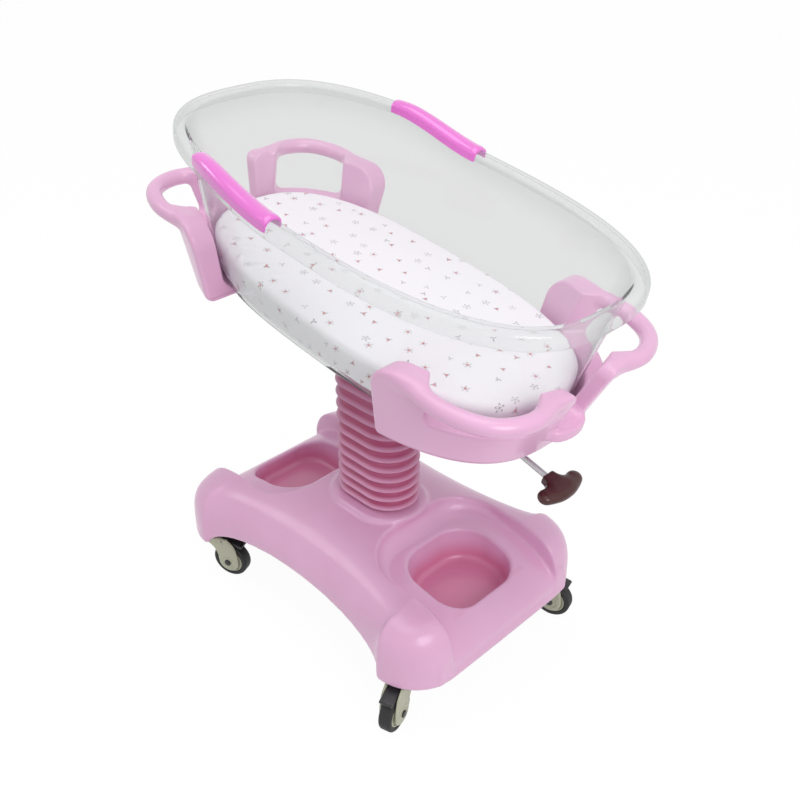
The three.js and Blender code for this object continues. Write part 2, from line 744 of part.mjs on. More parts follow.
// A point of the tub's outline drawn out, so that ears and uprights stand clear of its wall
function flared(point) {
  const lean = THREE.MathUtils.clamp((point.z - TUB_SEAT) / EAR_HEIGHT, 0, 1);
  const end = 1 + (CRADLE_LEAN * lean) / (TUB_LENGTH / 2);
  const side = 1 + CRADLE_FLARE / (TUB_WIDTH / 2);
  return new THREE.Vector3(point.x * end, point.y * side, point.z);
}

function cradleBlank() {
  const grow = CRADLE_CLEARANCE + CRADLE_WALL;
  const lower = bottomEdge(CRADLE_BOTTOM, CRADLE_FLOOR, grow, 3);
  const upper = tubRing((height) => wallInset(height) - grow, level(EAR_TOP));
  return solidOf(loft([...lower, upper].map((ring) => ring.map(flared))));
}

function tubClearance() {
  const lower = bottomEdge(TUB_SEAT - SEAT_GAP, TUB_FILLET, CRADLE_CLEARANCE, 3);
  const upper = tubRing((height) => wallInset(height) - CRADLE_CLEARANCE, level(RIM_LOW - ROLL_DROP));
  return solidOf(loft([...lower, upper].map((ring) => ring.map(flared))));
}

// Plan point on the cradle's outer face, out by reach, at a height
function cradlePoint(angle, reach, height) {
  const inset = wallInset(height) - CRADLE_CLEARANCE - CRADLE_WALL / 2 - reach;
  return flared(tubPoint(angle, inset, height));
}

function planAngle(test) {
  let low = 0;
  let high = Math.PI / 2;
  for (let i = 0; i < 40; i += 1) {
    const middle = (low + high) / 2;
    if (test(middle)) {
      high = middle;
    } else {
      low = middle;
    }
  }
  return high;
}

function cradle(start) {
  const half = NOTCH_WIDTH / 2;
  const sill = TUB_SEAT + NOTCH_SILL;
  const bowPoint = (angle, reach = 0) => cradlePoint(angle, reach, EAR_TOP - BOW_RADIUS);
  const earEnd = planAngle((a) => bowPoint(a).x < start + EAR_LENGTH);
  const uprightEnd = planAngle((a) => bowPoint(a).y > half + UPRIGHT_WIDTH);
  const earMiddle = planAngle((a) => bowPoint(a).x < start + EAR_LENGTH * BOW_ROOT);
  const uprightMiddle = planAngle((a) => bowPoint(a).y > half + UPRIGHT_WIDTH / 2);

  const keep = roundedBox(start, 0, THROUGH * 2, EAR_TOP + OVERCUT, 0, 0, 0, EAR_ROUND);
  const ledge = tubRing(() => wallInset(TUB_SEAT) + CRADLE_LEDGE, level(0));
  const opening = loft([ledge, ledge.map((point) => point.clone().setZ(TUB_SEAT + OVERCUT))]);
  let body = cradleBlank().intersect(acrossY(keep, THROUGH * 2));

  const apex = cradlePoint(0, CRADLE_WALL / 2, sill).x;
  const lip = new THREE.Shape().absellipse(0, 0, LIP_REACH, NOTCH_WIDTH * LIP_SHARE, 0, 2 * Math.PI);
  const lipSolid = standing(lip, sill - LIP_HEIGHT, sill, 10);
  body = joined(body, lipSolid.translate([apex - LIP_SINK, 0, 0]));

  const notch = roundedBox(-half, sill, half, THROUGH, NOTCH_ROUND, NOTCH_ROUND, 0, 0);
  body = cut(body, alongX(notch, 0, 2 * THROUGH, 3));

  for (const side of [1, -1]) {
    const uprightCorner = bowPoint(uprightEnd);
    const chord = bowPoint(earEnd).sub(uprightCorner);
    const span = Math.hypot(chord.x, chord.y);
    const low = TUB_SEAT + SILL_HEIGHT;
    const window = roundedBox(0, low, span, THROUGH, WINDOW_ROUND, WINDOW_ROUND, 0, 0);
    const turn = THREE.MathUtils.radToDeg(Math.atan2(chord.y, chord.x));
    const cutter = acrossY(window, 3 * CRADLE_WALL + 2 * BOW_REACH, 3)
      .rotate([0, 0, turn])
      .translate([uprightCorner.x, uprightCorner.y, 0]);
    body = cut(body, side > 0 ? cutter : cutter.mirror([0, 1, 0]));
  }

  for (const side of [1, -1]) {
    const first = bowPoint(earMiddle);
    const last = bowPoint(uprightMiddle);
    const along = (share) => THREE.MathUtils.lerp(earMiddle, uprightMiddle, share);
    const shoulder = CRADLE_WALL / 2 + BOW_REACH * BOW_SHOULDER;
    const curve = new THREE.CatmullRomCurve3([
      first,
      bowPoint(along(BOW_QUARTER), shoulder),
      bowPoint(along(0.5), CRADLE_WALL / 2 + BOW_REACH),
      bowPoint(along(1 - BOW_QUARTER), shoulder),
      last,
    ]);
    const knob = (at) => solidOf(new THREE.SphereGeometry(BOW_RADIUS, 10, 5)).translate(at.toArray());
    const bow = joined(tube(curve, BOW_RADIUS, 12), knob(first), knob(last));
    body = joined(body, side > 0 ? bow : bow.mirror([0, 1, 0]));
  }
  return cut(body, tubClearance(), solidOf(opening));
}

// Tilt frame: two rails under the cradles, crossbars and saddles, and a sleeve on the tilt pin

function tiltFrame() {
  const railMiddle = RAIL_TOP - RAIL_HEIGHT / 2;
  const reach = TUB_LENGTH / 2 - wallInset(TUB_SEAT) - SADDLE_INSET / 2;
  const parts = [];
  for (const side of [1, -1]) {
    const y = (side * RAIL_SPACING) / 2;
    parts.push(block(2 * reach, RAIL_WIDTH, RAIL_HEIGHT, [TUB_SHIFT, y, railMiddle]));
    const bar = [side * CROSSBAR_PLACE, 0, railMiddle];
    parts.push(block(RAIL_WIDTH, RAIL_SPACING, RAIL_HEIGHT, bar));
    const saddle = [TUB_SHIFT + side * (reach - SADDLE_LENGTH / 2), 0, railMiddle];
    parts.push(block(SADDLE_LENGTH, RAIL_SPACING, RAIL_HEIGHT, saddle));
    const spine = [0, (side * SPINE_SPACING) / 2, railMiddle];
    parts.push(block(2 * CROSSBAR_PLACE, SPINE_WIDTH, RAIL_HEIGHT, spine));
  }
  const sleeveLength = CHEEK_SPACING - CHEEK_THICKNESS - 2 * RUNNING_GAP;
  parts.push(crossPin(SLEEVE_RADIUS, sleeveLength, 0, 0));
  return cut(joined(...parts), crossPin(PIVOT_RADIUS + RUNNING_GAP, THROUGH, 0, 0));
}

// Release lever: a rod on a bracket under the frame, with a T-shaped grip

function leverBracket() {
  const eye = LEVER_EYE_RADIUS;
  const round = eye - LEVER_EYE_STEP;
  const earTop = LEVER_DROP + RAIL_TOP - RAIL_HEIGHT / 2;
  const ear = roundedBox(-eye, -eye, eye, earTop, round, round, 0, 0);
  const cheek = acrossY(ear, LEVER_EAR, 4).translate([LEVER_PLACE, 0, -LEVER_DROP]);
  const offset = LEVER_EYE_WIDTH / 2 + RUNNING_GAP + LEVER_EAR / 2;
  const barWidth = RAIL_SPACING - RAIL_WIDTH - 2 * SEAT_GAP;
  const barMiddle = RAIL_TOP - RAIL_HEIGHT / 4 - SEAT_GAP;
  const bar = block(2 * eye, barWidth, RAIL_HEIGHT / 2, [LEVER_PLACE, 0, barMiddle]);
  const body = joined(bar, cheek.translate([0, offset, 0]), cheek.translate([0, -offset, 0]));
  return cut(body, crossPin(LEVER_PIN_RADIUS + SEAT_GAP, THROUGH, LEVER_PLACE, -LEVER_DROP));
}

function leverPin() {
  const length = LEVER_EYE_WIDTH + 2 * (LEVER_EAR + LEVER_PIN_END);
  return crossPin(LEVER_PIN_RADIUS, length, LEVER_PLACE, -LEVER_DROP, PIN_SIDES);
}

function leverRod() {
  const rod = upright(LEVER_ROD_RADIUS, 0, LEVER_LENGTH).rotate([0, 90, 0]);
  const eye = crossPin(LEVER_EYE_RADIUS - LEVER_EYE_STEP, LEVER_EYE_WIDTH, 0, 0);
  return cut(joined(rod, eye), crossPin(LEVER_PIN_RADIUS + RUNNING_GAP, THROUGH, 0, 0));
}

function leverGrip() {
  const halfBar = T_GRIP_WIDTH / 2;
  const halfNeck = T_GRIP_NECK / 2;
  const shoulder = T_GRIP_REACH - T_GRIP_BAR;
  const shape = new THREE.Shape();
  shape.moveTo(0, -halfNeck);
  shape.quadraticCurveTo(shoulder, -halfNeck, shoulder, -halfBar + T_GRIP_BAR / 3);
  shape.quadraticCurveTo(shoulder, -halfBar, shoulder + T_GRIP_BAR / 3, -halfBar);
  shape.quadraticCurveTo(T_GRIP_REACH, -halfNeck, T_GRIP_REACH, 0);
  shape.quadraticCurveTo(T_GRIP_REACH, halfNeck, shoulder + T_GRIP_BAR / 3, halfBar);
  shape.quadraticCurveTo(shoulder, halfBar, shoulder, halfBar - T_GRIP_BAR / 3);
  shape.quadraticCurveTo(shoulder, halfNeck, 0, halfNeck);
  const half = T_GRIP_THICKNESS / 2;
  const round = half * T_GRIP_ROUND;
  const side = roundedBox(0, -half, T_GRIP_REACH, half, half / 3, round, round, half / 3);
  const solid = standing(shape, -half, half, 5).intersect(acrossY(side, T_GRIP_WIDTH + 2 * OVERCUT, 4));
  const start = LEVER_LENGTH - T_GRIP_REACH / 2;
  const socket = upright(LEVER_ROD_RADIUS + SEAT_GAP, 0, LEVER_LENGTH + SEAT_GAP).rotate([0, 90, 0]);
  return cut(solid.translate([start, 0, 0]), socket);
}

// Caster: stem in the base, trailing fork, wheel on its axle, and brake pedal

const hubHeight = WHEEL_RADIUS;
const forkTop = CASTER_HEIGHT - STEM_CAP - SEAT_GAP;
const forkWidth = WHEEL_WIDTH + WHEEL_ROOM + 2 * FORK_ARM;
const pedalPlace = { x: STEM_CAP_RADIUS - PEDAL_SETBACK, z: forkTop - PEDAL_THICKNESS };

function casterStem() {
  const top = CASTER_HEIGHT + CHASSIS_LIFT + CHASSIS_THICKNESS - STEM_END_GAP;
  const pin = upright(STEM_RADIUS, forkTop - STEM_DEPTH + SEAT_GAP, top);
  const cap = upright(STEM_CAP_RADIUS, forkTop + SEAT_GAP, CASTER_HEIGHT + CHASSIS_LIFT - SEAT_GAP);
  return joined(pin, cap);
}

function casterFork() {
  const side = new THREE.Shape();
  const headFoot = forkTop - FORK_HEAD_HEIGHT;
  side.moveTo(-FORK_HEAD_RADIUS, forkTop);
  side.lineTo(-FORK_HEAD_RADIUS, headFoot);
  const front = FORK_TRAIL - FORK_BOSS_RADIUS;
  side.quadraticCurveTo(front, headFoot - FORK_DIP, front, hubHeight);
  side.absarc(FORK_TRAIL, hubHeight, FORK_BOSS_RADIUS, Math.PI, 2 * Math.PI);
  side.quadraticCurveTo(FORK_TRAIL + FORK_BOSS_RADIUS, headFoot, FORK_HEAD_RADIUS, forkTop);
  const arms = acrossY(side, forkWidth, 3);
  const head = upright(FORK_HEAD_RADIUS, headFoot, forkTop);
  const slot = WHEEL_WIDTH + WHEEL_ROOM;
  const room = crossPin(WHEEL_RADIUS + WHEEL_ROOM, slot, FORK_TRAIL, hubHeight, WHEEL_SIDES);
  const pocket = block(PEDAL_LENGTH * 2, slot, PEDAL_LENGTH * 2)
    .translate([PEDAL_LENGTH + pedalPlace.x - PEDAL_THICKNESS, 0, PEDAL_LENGTH + hubHeight]);
  const bore = upright(STEM_RADIUS + RUNNING_GAP, forkTop - STEM_DEPTH, forkTop + OVERCUT);
  const axleHole = crossPin(AXLE_RADIUS + SEAT_GAP, THROUGH, FORK_TRAIL, hubHeight, PIN_SIDES);
  const pinRadius = PEDAL_PIN_RADIUS + RUNNING_GAP;
  const pinHole = crossPin(pinRadius, THROUGH, pedalPlace.x, pedalPlace.z, PIN_SIDES);
  return cut(joined(arms, head), room, pocket, bore, axleHole, pinHole);
}

function casterAxle() {
  const shaft = crossPin(AXLE_RADIUS, forkWidth + 2 * AXLE_HEAD, FORK_TRAIL, hubHeight, PIN_SIDES);
  const offset = forkWidth / 2 + SEAT_GAP + AXLE_HEAD / 2;
  const head = crossPin(AXLE_HEAD_RADIUS, AXLE_HEAD, FORK_TRAIL, hubHeight, PIN_SIDES);
  return joined(shaft, head.translate([0, offset, 0]), head.translate([0, -offset, 0]));
}

function ringAround(profile) {
  const points = profile.map(([radius, along]) => new THREE.Vector2(radius, along));
  const ring = new THREE.LatheGeometry([...points, points[0]], WHEEL_SIDES);
  return ring.translate(FORK_TRAIL, 0, hubHeight);
}

function casterTyre() {
  const half = WHEEL_WIDTH / 2;
  const inner = WHEEL_RADIUS - TYRE_DEPTH;
  return ringAround([
    [inner, -half + TYRE_BEVEL],
    [WHEEL_RADIUS - TREAD_ROUND, -half],
    [WHEEL_RADIUS, -half + TREAD_ROUND],
    [WHEEL_RADIUS, half - TREAD_ROUND],
    [WHEEL_RADIUS - TREAD_ROUND, half],
    [inner, half - TYRE_BEVEL],
  ]);
}

function casterHub() {
  const half = WHEEL_WIDTH / 2;
  const rim = WHEEL_RADIUS - TYRE_DEPTH - SEAT_GAP;
  const bore = AXLE_RADIUS + RUNNING_GAP;
  return ringAround([
    [bore, -half],
    [rim, -half + HUB_RECESS],
    [rim, half - HUB_RECESS],
    [bore, half],
  ]);
}

// The pedal's toe falls towards the back, over the wheel; its pin turns in the fork arms
function casterPedal() {
  const thick = PEDAL_THICKNESS / 2;
  const round = thick - PEDAL_EDGE;
  const shape = roundedBox(-thick, -thick, PEDAL_LENGTH, thick, round, round, round, round);
  const slab = acrossY(shape, WHEEL_WIDTH, 2);
  const pin = crossPin(PEDAL_PIN_RADIUS, forkWidth, 0, 0, PIN_SIDES);
  return joined(slab.rotate([0, PEDAL_DROP, 0]), pin).translate([pedalPlace.x, 0, pedalPlace.z]);
}

// Assembly: base, lift and tilt groups, one caster group at each corner

const bassinet = new THREE.Group();
const base = new THREE.Group();
base.position.set(0, 0, CASTER_HEIGHT);
bassinet.add(base);

const foot = new THREE.Group();
foot.position.x = BASE_SHIFT;
base.add(foot);
addPiece(foot, "base_cover", baseCover(), PINK);
addPiece(foot, "chassis", chassis(), DARK_STEEL);

addPiece(base, "guide_tube", guideTube(), STEEL);
addPiece(base, "gas_cylinder", gasCylinder(), DARK_STEEL);
addPiece(base, "bellows", bellows(), PINK_RUBBER);
addPiece(base, "bellows_ring", bellowsRing(), BLACK);
addPiece(base, "slider_tube", sliderTube(), STEEL);
addPiece(base, "gas_rod", gasRod(), STEEL);
addPiece(base, "lift_head", liftHead(), DARK_STEEL);
const tiltPinLength = CHEEK_SPACING + 3 * CHEEK_THICKNESS;
addPiece(base, "tilt_pin", crossPin(PIVOT_RADIUS, tiltPinLength, 0, PIVOT_HEIGHT), STEEL);

const tilt = new THREE.Group();
tilt.position.z = PIVOT_HEIGHT;
tilt.rotation.y = THREE.MathUtils.degToRad(REST_TILT);
base.add(tilt);
addPiece(tilt, "tilt_frame", tiltFrame(), DARK_STEEL);
addPiece(tilt, "tub", tub(), CLEAR);
addPiece(tilt, "grip_near", grip(-1), MAGENTA);
addPiece(tilt, "grip_far", grip(1), MAGENTA);
addPiece(tilt, "mattress", mattress(), FOAM);
addPiece(tilt, "sheet", sheet(), WHITE_CLOTH);

addPiece(tilt, "cradle_foot", cradle(FOOT_CRADLE_START), PINK);
const headEnd = new THREE.Group();
headEnd.position.x = 2 * TUB_SHIFT - HEAD_CRADLE_GAP;
headEnd.rotation.z = Math.PI;
tilt.add(headEnd);
addPiece(headEnd, "cradle_head", cradle(HEAD_CRADLE_START), PINK);

addPiece(tilt, "lever_bracket", leverBracket(), DARK_STEEL);
addPiece(tilt, "lever_pin", leverPin(), STEEL);
const lever = new THREE.Group();
lever.position.set(LEVER_PLACE, 0, -LEVER_DROP);
lever.rotation.y = THREE.MathUtils.degToRad(LEVER_DIP);
tilt.add(lever);
addPiece(lever, "lever_rod", leverRod(), STEEL);
addPiece(lever, "lever_grip", leverGrip(), DARK_RED);

for (const [corner, [x, y]] of Object.entries(casterPlaces)) {
  const caster = new THREE.Group();
  caster.position.set(x + BASE_SHIFT, y, 0);
  caster.rotation.z = THREE.MathUtils.degToRad(TRAIL_ANGLES[corner]);
  bassinet.add(caster);
  addPiece(caster, `stem_${corner}`, casterStem(), BLACK);
  addPiece(caster, `fork_${corner}`, casterFork(), FORK_GREY);
  addPiece(caster, `axle_${corner}`, casterAxle(), BLACK);
  addPiece(caster, `tyre_${corner}`, casterTyre(), BLACK);
  addPiece(caster, `hub_${corner}`, casterHub(), FORK_GREY);
  addPiece(caster, `pedal_${corner}`, casterPedal(), BLACK);
}

const extent = new THREE.Box3().setFromObject(bassinet, true);
const middle = extent.getCenter(new THREE.Vector3());
bassinet.position.set(-middle.x, -middle.y, -extent.min.z);

export default bassinet;
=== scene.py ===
import json
import math

import bmesh
import bpy
import numpy as np
from bpy.props import FloatProperty, FloatVectorProperty, IntProperty, PointerProperty
from mathutils import Matrix, Vector


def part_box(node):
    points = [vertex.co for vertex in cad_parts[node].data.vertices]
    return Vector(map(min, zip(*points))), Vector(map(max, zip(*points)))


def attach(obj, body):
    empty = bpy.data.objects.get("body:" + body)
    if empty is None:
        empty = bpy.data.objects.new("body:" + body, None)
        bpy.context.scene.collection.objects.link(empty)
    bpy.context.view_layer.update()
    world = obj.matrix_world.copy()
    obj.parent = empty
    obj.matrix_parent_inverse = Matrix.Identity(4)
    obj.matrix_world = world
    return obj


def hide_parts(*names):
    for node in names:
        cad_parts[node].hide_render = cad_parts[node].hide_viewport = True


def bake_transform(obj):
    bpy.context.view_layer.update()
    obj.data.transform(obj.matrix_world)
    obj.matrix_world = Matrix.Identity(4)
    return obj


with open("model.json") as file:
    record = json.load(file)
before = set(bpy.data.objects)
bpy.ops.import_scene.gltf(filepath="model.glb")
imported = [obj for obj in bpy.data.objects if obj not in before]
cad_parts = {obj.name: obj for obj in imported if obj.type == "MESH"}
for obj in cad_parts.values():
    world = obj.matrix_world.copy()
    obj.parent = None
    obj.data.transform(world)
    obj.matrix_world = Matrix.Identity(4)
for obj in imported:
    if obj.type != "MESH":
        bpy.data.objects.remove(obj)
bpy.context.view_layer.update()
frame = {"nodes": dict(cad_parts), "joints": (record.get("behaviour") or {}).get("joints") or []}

bl_info = {
    "name": "Hospital bassinet",
    "version": (1, 0, 0),
    "blender": (4, 5, 0),
    "location": "View3D > Sidebar > Bassinet",
    "description": "Finished pieces, materials and studio for the packed bassinet",
    "category": "Object",
}

NODES = frame["nodes"]
JOINTS = {joint["name"]: joint for joint in frame["joints"]}
CORNERS = ("head_near", "head_far", "foot_near", "foot_far")
PIVOT = Vector(JOINTS["tilt_hinge"]["pos_m"])
BED_UP = Vector(JOINTS["tub_lift_out"]["axis"])
REST_TILT = math.atan2(BED_UP.x, BED_UP.z)
BED_PLACE = Matrix.Translation(PIVOT) @ Matrix.Rotation(REST_TILT, 4, "Y")
LEVER_HINGE = Vector(JOINTS["lever_squeeze"]["pos_m"])


# Settings

def metres(name, description, default):
    return FloatProperty(name=name, description=description, default=default, unit="LENGTH", precision=4)


def share(name, description, default):
    return FloatProperty(name=name, description=description, default=default, subtype="FACTOR", precision=3)


def colour(name, description, default):
    return FloatVectorProperty(
        name=name, description=description, default=(*default, 1.0), subtype="COLOR", size=4, min=0, max=1
    )


class BassinetTub(bpy.types.PropertyGroup):
    length: metres("Length", "Length over the rolled rim", 0.841)
    width: metres("Width", "Width over the rolled rim", 0.473)
    power: FloatProperty(name="Roundness", description="Power of the oval outline", default=2.72)
    shift: metres("Shift", "Middle of the tub ahead of the tilt axis", 0.004)
    seat: metres("Seat", "Underside of the tub above the tilt axis", 0.042)
    depth: metres("Depth", "Rim above the underside at the foot end", 0.248)
    wall: metres("Wall", "Thickness of the acrylic", 0.005)
    fillet: metres("Fillet", "Rounding between floor and wall", 0.028)
    slope: share("Wall slope", "Lean of the wall, inwards per height", 0.19)
    head_rise: metres("Head rise", "How much higher the rim is at the head", 0.020)
    slope_start: metres("Slope start", "Where the rim starts to fall", -0.212)
    slope_end: metres("Slope end", "Where the rim is low again", -0.026)
    roll_width: metres("Roll width", "Outer edge of the rim beyond the wall", 0.022)
    roll_crest: metres("Roll crest", "Crest of the rim inside its outer edge", 0.014)
    roll_rise: metres("Roll rise", "Crest of the rim above the wall's end", 0.010)
    roll_round: metres("Roll round", "Rounding of the rim's outer shoulder", 0.014)
    roll_drop: metres("Roll drop", "Depth of the rim's turned-down edge", 0.028)


class BassinetGrips(bpy.types.PropertyGroup):
    start: metres("Start", "Head end of the grip covers", -0.218)
    end: metres("End", "Foot end of the grip covers", -0.020)
    side: metres("Side", "Thickness over the rim's two faces", 0.0022)
    top: metres("Top", "Thickness over the crest", 0.0055)
    skirt: metres("Skirt", "Depth below the crest", 0.016)
    power: FloatProperty(name="Roundness", description="Power of the cover's outline", default=2.0)
    gap: metres("Gap", "Room between rim and cover", 0.0004)


class BassinetCradles(bpy.types.PropertyGroup):
    wall: metres("Wall", "Thickness of the moulding", 0.024)
    clearance: metres("Clearance", "Room between tub and moulding", 0.0008)
    floor: metres("Floor", "Thickness under the tub", 0.016)
    ledge: metres("Ledge", "Width of the floor inside the wall", 0.058)
    foot_start: metres("Foot start", "Where the foot cradle's ears begin, from the tub's middle", 0.196)
    head_start: metres("Head start", "Where the head cradle's ears begin, from the tub's middle", 0.221)
    flare: metres("Flare", "How far the ears stand out sideways", 0.024)
    snug: FloatProperty(name="Snugness", description="Width of the room for the tub, as a part of the tub's", default=1.015)
    lean: metres("Lean", "How far the uprights lean outwards at their tops", 0.022)
    head_gap: metres("Head gap", "Shift of the head cradle outwards", 0.008)
    ear_height: metres("Ear height", "Ears and uprights above the seat", 0.134)
    ear_round: metres("Ear round", "Rounding of the ears' upper corner", 0.044)
    ear_length: metres("Ear length", "Length of each ear", 0.086)
    sill: metres("Sill", "Window sill above the seat", 0.058)
    notch: metres("Notch", "Width of the notch at the end", 0.080)
    notch_taper: metres("Notch taper", "How much narrower each side of the notch is at its sill", 0.010)
    notch_sill: metres("Notch sill", "Notch sill above the seat", 0.044)
    upright: metres("Upright", "Width of each upright", 0.054)
    window_round: metres("Window round", "Rounding of the windows' corners", 0.014)
    bow_radius: metres("Bow radius", "Radius of the bow handles", 0.0138)
    bow_reach: metres("Bow reach", "How far the handles stand out", 0.028)
    lip_reach: metres("Lip reach", "How far the lip stands out", 0.020)
    lip_height: metres("Lip height", "Height of the lip", 0.020)
    lip_share: share("Lip width", "Half the lip's width as a part of the notch's", 0.5)
    edge: metres("Edge", "Rounding of the moulded edges", 0.004)
    ear_edge: metres("Ear edge", "Rounding along the tops of ears and uprights", 0.009)
    shoulder: metres("Shoulder", "Rounding of the uprights beside the notch", 0.020)
    seam: metres("Seam", "Parting line above the bottom edge", 0.011)
    step: metres("Step", "Spacing of the mesh", 0.0021)


class BassinetBase(bpy.types.PropertyGroup):
    length: metres("Length", "Length of the cover", 0.684)
    width: metres("Width", "Width of the cover", 0.464)
    shift: metres("Shift", "Middle of the cover from the column", -0.014)
    lift: metres("Lift", "Bottom edge above the floor", 0.100)
    wall: metres("Wall", "Thickness of the moulding", 0.008)
    deck: metres("Deck", "Crown above the bottom edge", 0.147)
    leg: metres("Leg", "Height at the ends", 0.112)
    deck_power: FloatProperty(name="Deck roundness", description="Power of the middle section", default=2.3)
    leg_power: FloatProperty(name="Leg roundness", description="Power of the end sections", default=5.2)
    arch_length: metres("Arch length", "Length of the arch between the legs", 0.490)
    arch_rise: metres("Arch rise", "Height of that arch", 0.050)
    waist: metres("Waist", "How far the long sides draw in", 0.038)
    corner: metres("Corner", "Rounding of the feet in plan", 0.096)
    nose: metres("Nose", "Rounding of the ends from the side", 0.078)
    nose_power: FloatProperty(name="Nose roundness", description="Power of the rounded ends", default=3.4)
    tray_power: FloatProperty(name="Tray roundness", description="Power of the trays' fall", default=2.6)
    tray_width: metres("Tray width", "Width of the trays", 0.276)
    tray_start: metres("Tray start", "Inner end of the trays", 0.104)
    tray_height: metres("Tray height", "Height of the trays", 0.104)
    tray_corner: metres("Tray corner", "Rounding of the trays in plan", 0.080)
    well_length: metres("Well length", "Length of the wells", 0.152)
    well_width: metres("Well width", "Width of the wells", 0.184)
    well_start: metres("Well start", "Inner end of the wells", 0.144)
    well_floor: metres("Well floor", "Floor of the wells above the bottom edge", 0.040)
    well_corner: metres("Well corner", "Rounding of the wells' inner corners in plan", 0.066)
    well_front: metres("Well front corner", "Rounding of the wells' outer corners in plan", 0.050)
    well_draft: metres("Well draft", "How far the wells narrow downwards", 0.008)
    bore: metres("Bore", "Radius of the opening for the column", 0.0375)
    pad_rise: metres("Pad rise", "Bellows pad above the crown", 0.004)
    pad_margin: metres("Pad margin", "Bellows pad beyond the bellows", 0.015)
    edge: metres("Edge", "Rounding of the trays' edges", 0.005)
    well_edge: metres("Well edge", "Rounding of the wells' edges", 0.0045)
    step: metres("Step", "Spacing of the mesh", 0.0036)


class BassinetBellows(bpy.types.PropertyGroup):
    half_x: metres("Half length", "Half the oblong's length", 0.084)
    half_y: metres("Half width", "Half the oblong's width", 0.058)
    fold: metres("Fold", "Depth of the folds", 0.0125)
    folds: IntProperty(name="Folds", description="Number of folds", default=12)
    height: metres("Height", "Height at rest", 0.278)
    stretch: share("Stretch", "How much wider the upper folds stand", 0.16)
    wall: metres("Wall", "Thickness of the rubber", 0.0022)


class BassinetBedding(bpy.types.PropertyGroup):
    height: metres("Height", "Thickness of the mattress", 0.070)
    clearance: metres("Clearance", "Room between mattress and tub", 0.004)
    round: metres("Round", "Rounding of the lower edge", 0.024)
    crown: metres("Crown", "How much the top stands up in the middle", 0.005)
    hem: metres("Hem", "How far the sheet turns under", 0.070)
    cloth: metres("Cloth", "Thickness of the sheet", 0.0008)
    wrinkle: metres("Wrinkle", "Height of the sheet's first wrinkles, before it settles", 0.0020)
    crease: metres("Crease", "Height of the creases at the near head corner", 0.0065)
    slack: share("Slack", "Spare cloth at the near head corner", 0.18)
    room: metres("Room", "How far the cloth may move while it settles", 0.008)
    frames: IntProperty(name="Frames", description="Steps that the cloth is given to settle", default=14)


class BassinetCasters(bpy.types.PropertyGroup):
    wheel: metres("Wheel", "Radius of the wheels", 0.0375)
    width: metres("Width", "Width of the wheels", 0.024)
    trail: metres("Trail", "Axle behind the swivel axis", 0.030)
    tyre: metres("Tyre", "Depth of the tyres", 0.010)
    arm: metres("Arm", "Thickness of the fork's arms", 0.005)
    boss: metres("Boss", "Radius of the fork at the axle", 0.0225)
    head: metres("Head", "Radius of the fork's head", 0.022)
    guard: metres("Guard", "Reach of the fork's top over the wheel", 0.036)
    ring: metres("Ring", "Radius of the groove in the fork's discs", 0.0125)
    head_height: metres("Head height", "Height of the fork's head", 0.016)
    top: metres("Top", "Top of the fork above the floor", 0.0947)
    room: metres("Room", "Room round the wheel", 0.0025)
    step: metres("Step", "Spacing of the fork's mesh", 0.0010)


class BassinetLever(bpy.types.PropertyGroup):
    length: metres("Length", "Rod from its hinge to the grip", 0.206)
    dip: FloatProperty(name="Dip", description="Rod below the bed's plane", default=math.radians(6.5), subtype="ANGLE")
    rod: metres("Rod", "Radius of the rod", 0.005)
    width: metres("Width", "Width of the T-shaped grip", 0.096)
    reach: metres("Reach", "Length of the grip along the rod", 0.050)
    bar: metres("Bar", "Depth of the grip's bar", 0.027)
    neck: metres("Neck", "Width of the grip's neck", 0.026)
    sweep: metres("Sweep", "How far the bar's ends lie back", 0.008)
    thickness: metres("Thickness", "Thickness of the grip", 0.020)
    step: metres("Step", "Spacing of the grip's mesh", 0.001)


class BassinetFinish(bpy.types.PropertyGroup):
    moulding: colour("Moulding", "Pink of the base and the cradles", (0.85, 0.48, 0.72))
    moulding_deep: colour("Moulding shade", "Deeper tone of the moulding", (0.82, 0.45, 0.68))
    # Painted shade: the tone that darkens the moulding low in the wells.
    hollow: colour("Hollow", "Tone of the moulding deep in the wells", (0.74, 0.25, 0.43))
    # The crest pink is the rubber's own colour; the fold tone below it is painted shade.
    bellows: colour("Bellows", "Pink of the bellows' crests", (0.76, 0.36, 0.56))
    groove: colour("Bellows groove", "Tone in the folds", (0.46, 0.06, 0.17))
    grips: colour("Grips", "Magenta of the grip covers", (0.88, 0.17, 0.70))
    acrylic: colour("Acrylic", "Tint of the clear tub", (0.965, 0.975, 0.97))
    # Painted shade: a darker grey along the tub's bends and at grazing angles.
    acrylic_painted_shade: colour("Acrylic edge", "Tint along the tub's edges", (0.70, 0.73, 0.725))
    cotton: colour("Cotton", "Ground of the sheet", (0.97, 0.945, 0.99))
    print_red: colour("Print red", "First print colour", (0.55, 0.07, 0.10))
    print_grey: colour("Print grey", "Second print colour", (0.16, 0.14, 0.16))
    foam: colour("Mattress", "Mattress cover", (0.80, 0.78, 0.72))
    steel: colour("Steel", "Zinc-plated steel", (0.55, 0.56, 0.57))
    frame: colour("Frame", "Powder-coated steel", (0.09, 0.092, 0.095))
    fork: colour("Fork", "Caster forks and hubs", (0.56, 0.57, 0.43))
    rubber: colour("Rubber", "Tyres", (0.012, 0.012, 0.013))
    black: colour("Black", "Black plastic", (0.018, 0.018, 0.02))
    lever: colour("Lever", "Lever grip", (0.062, 0.007, 0.006))


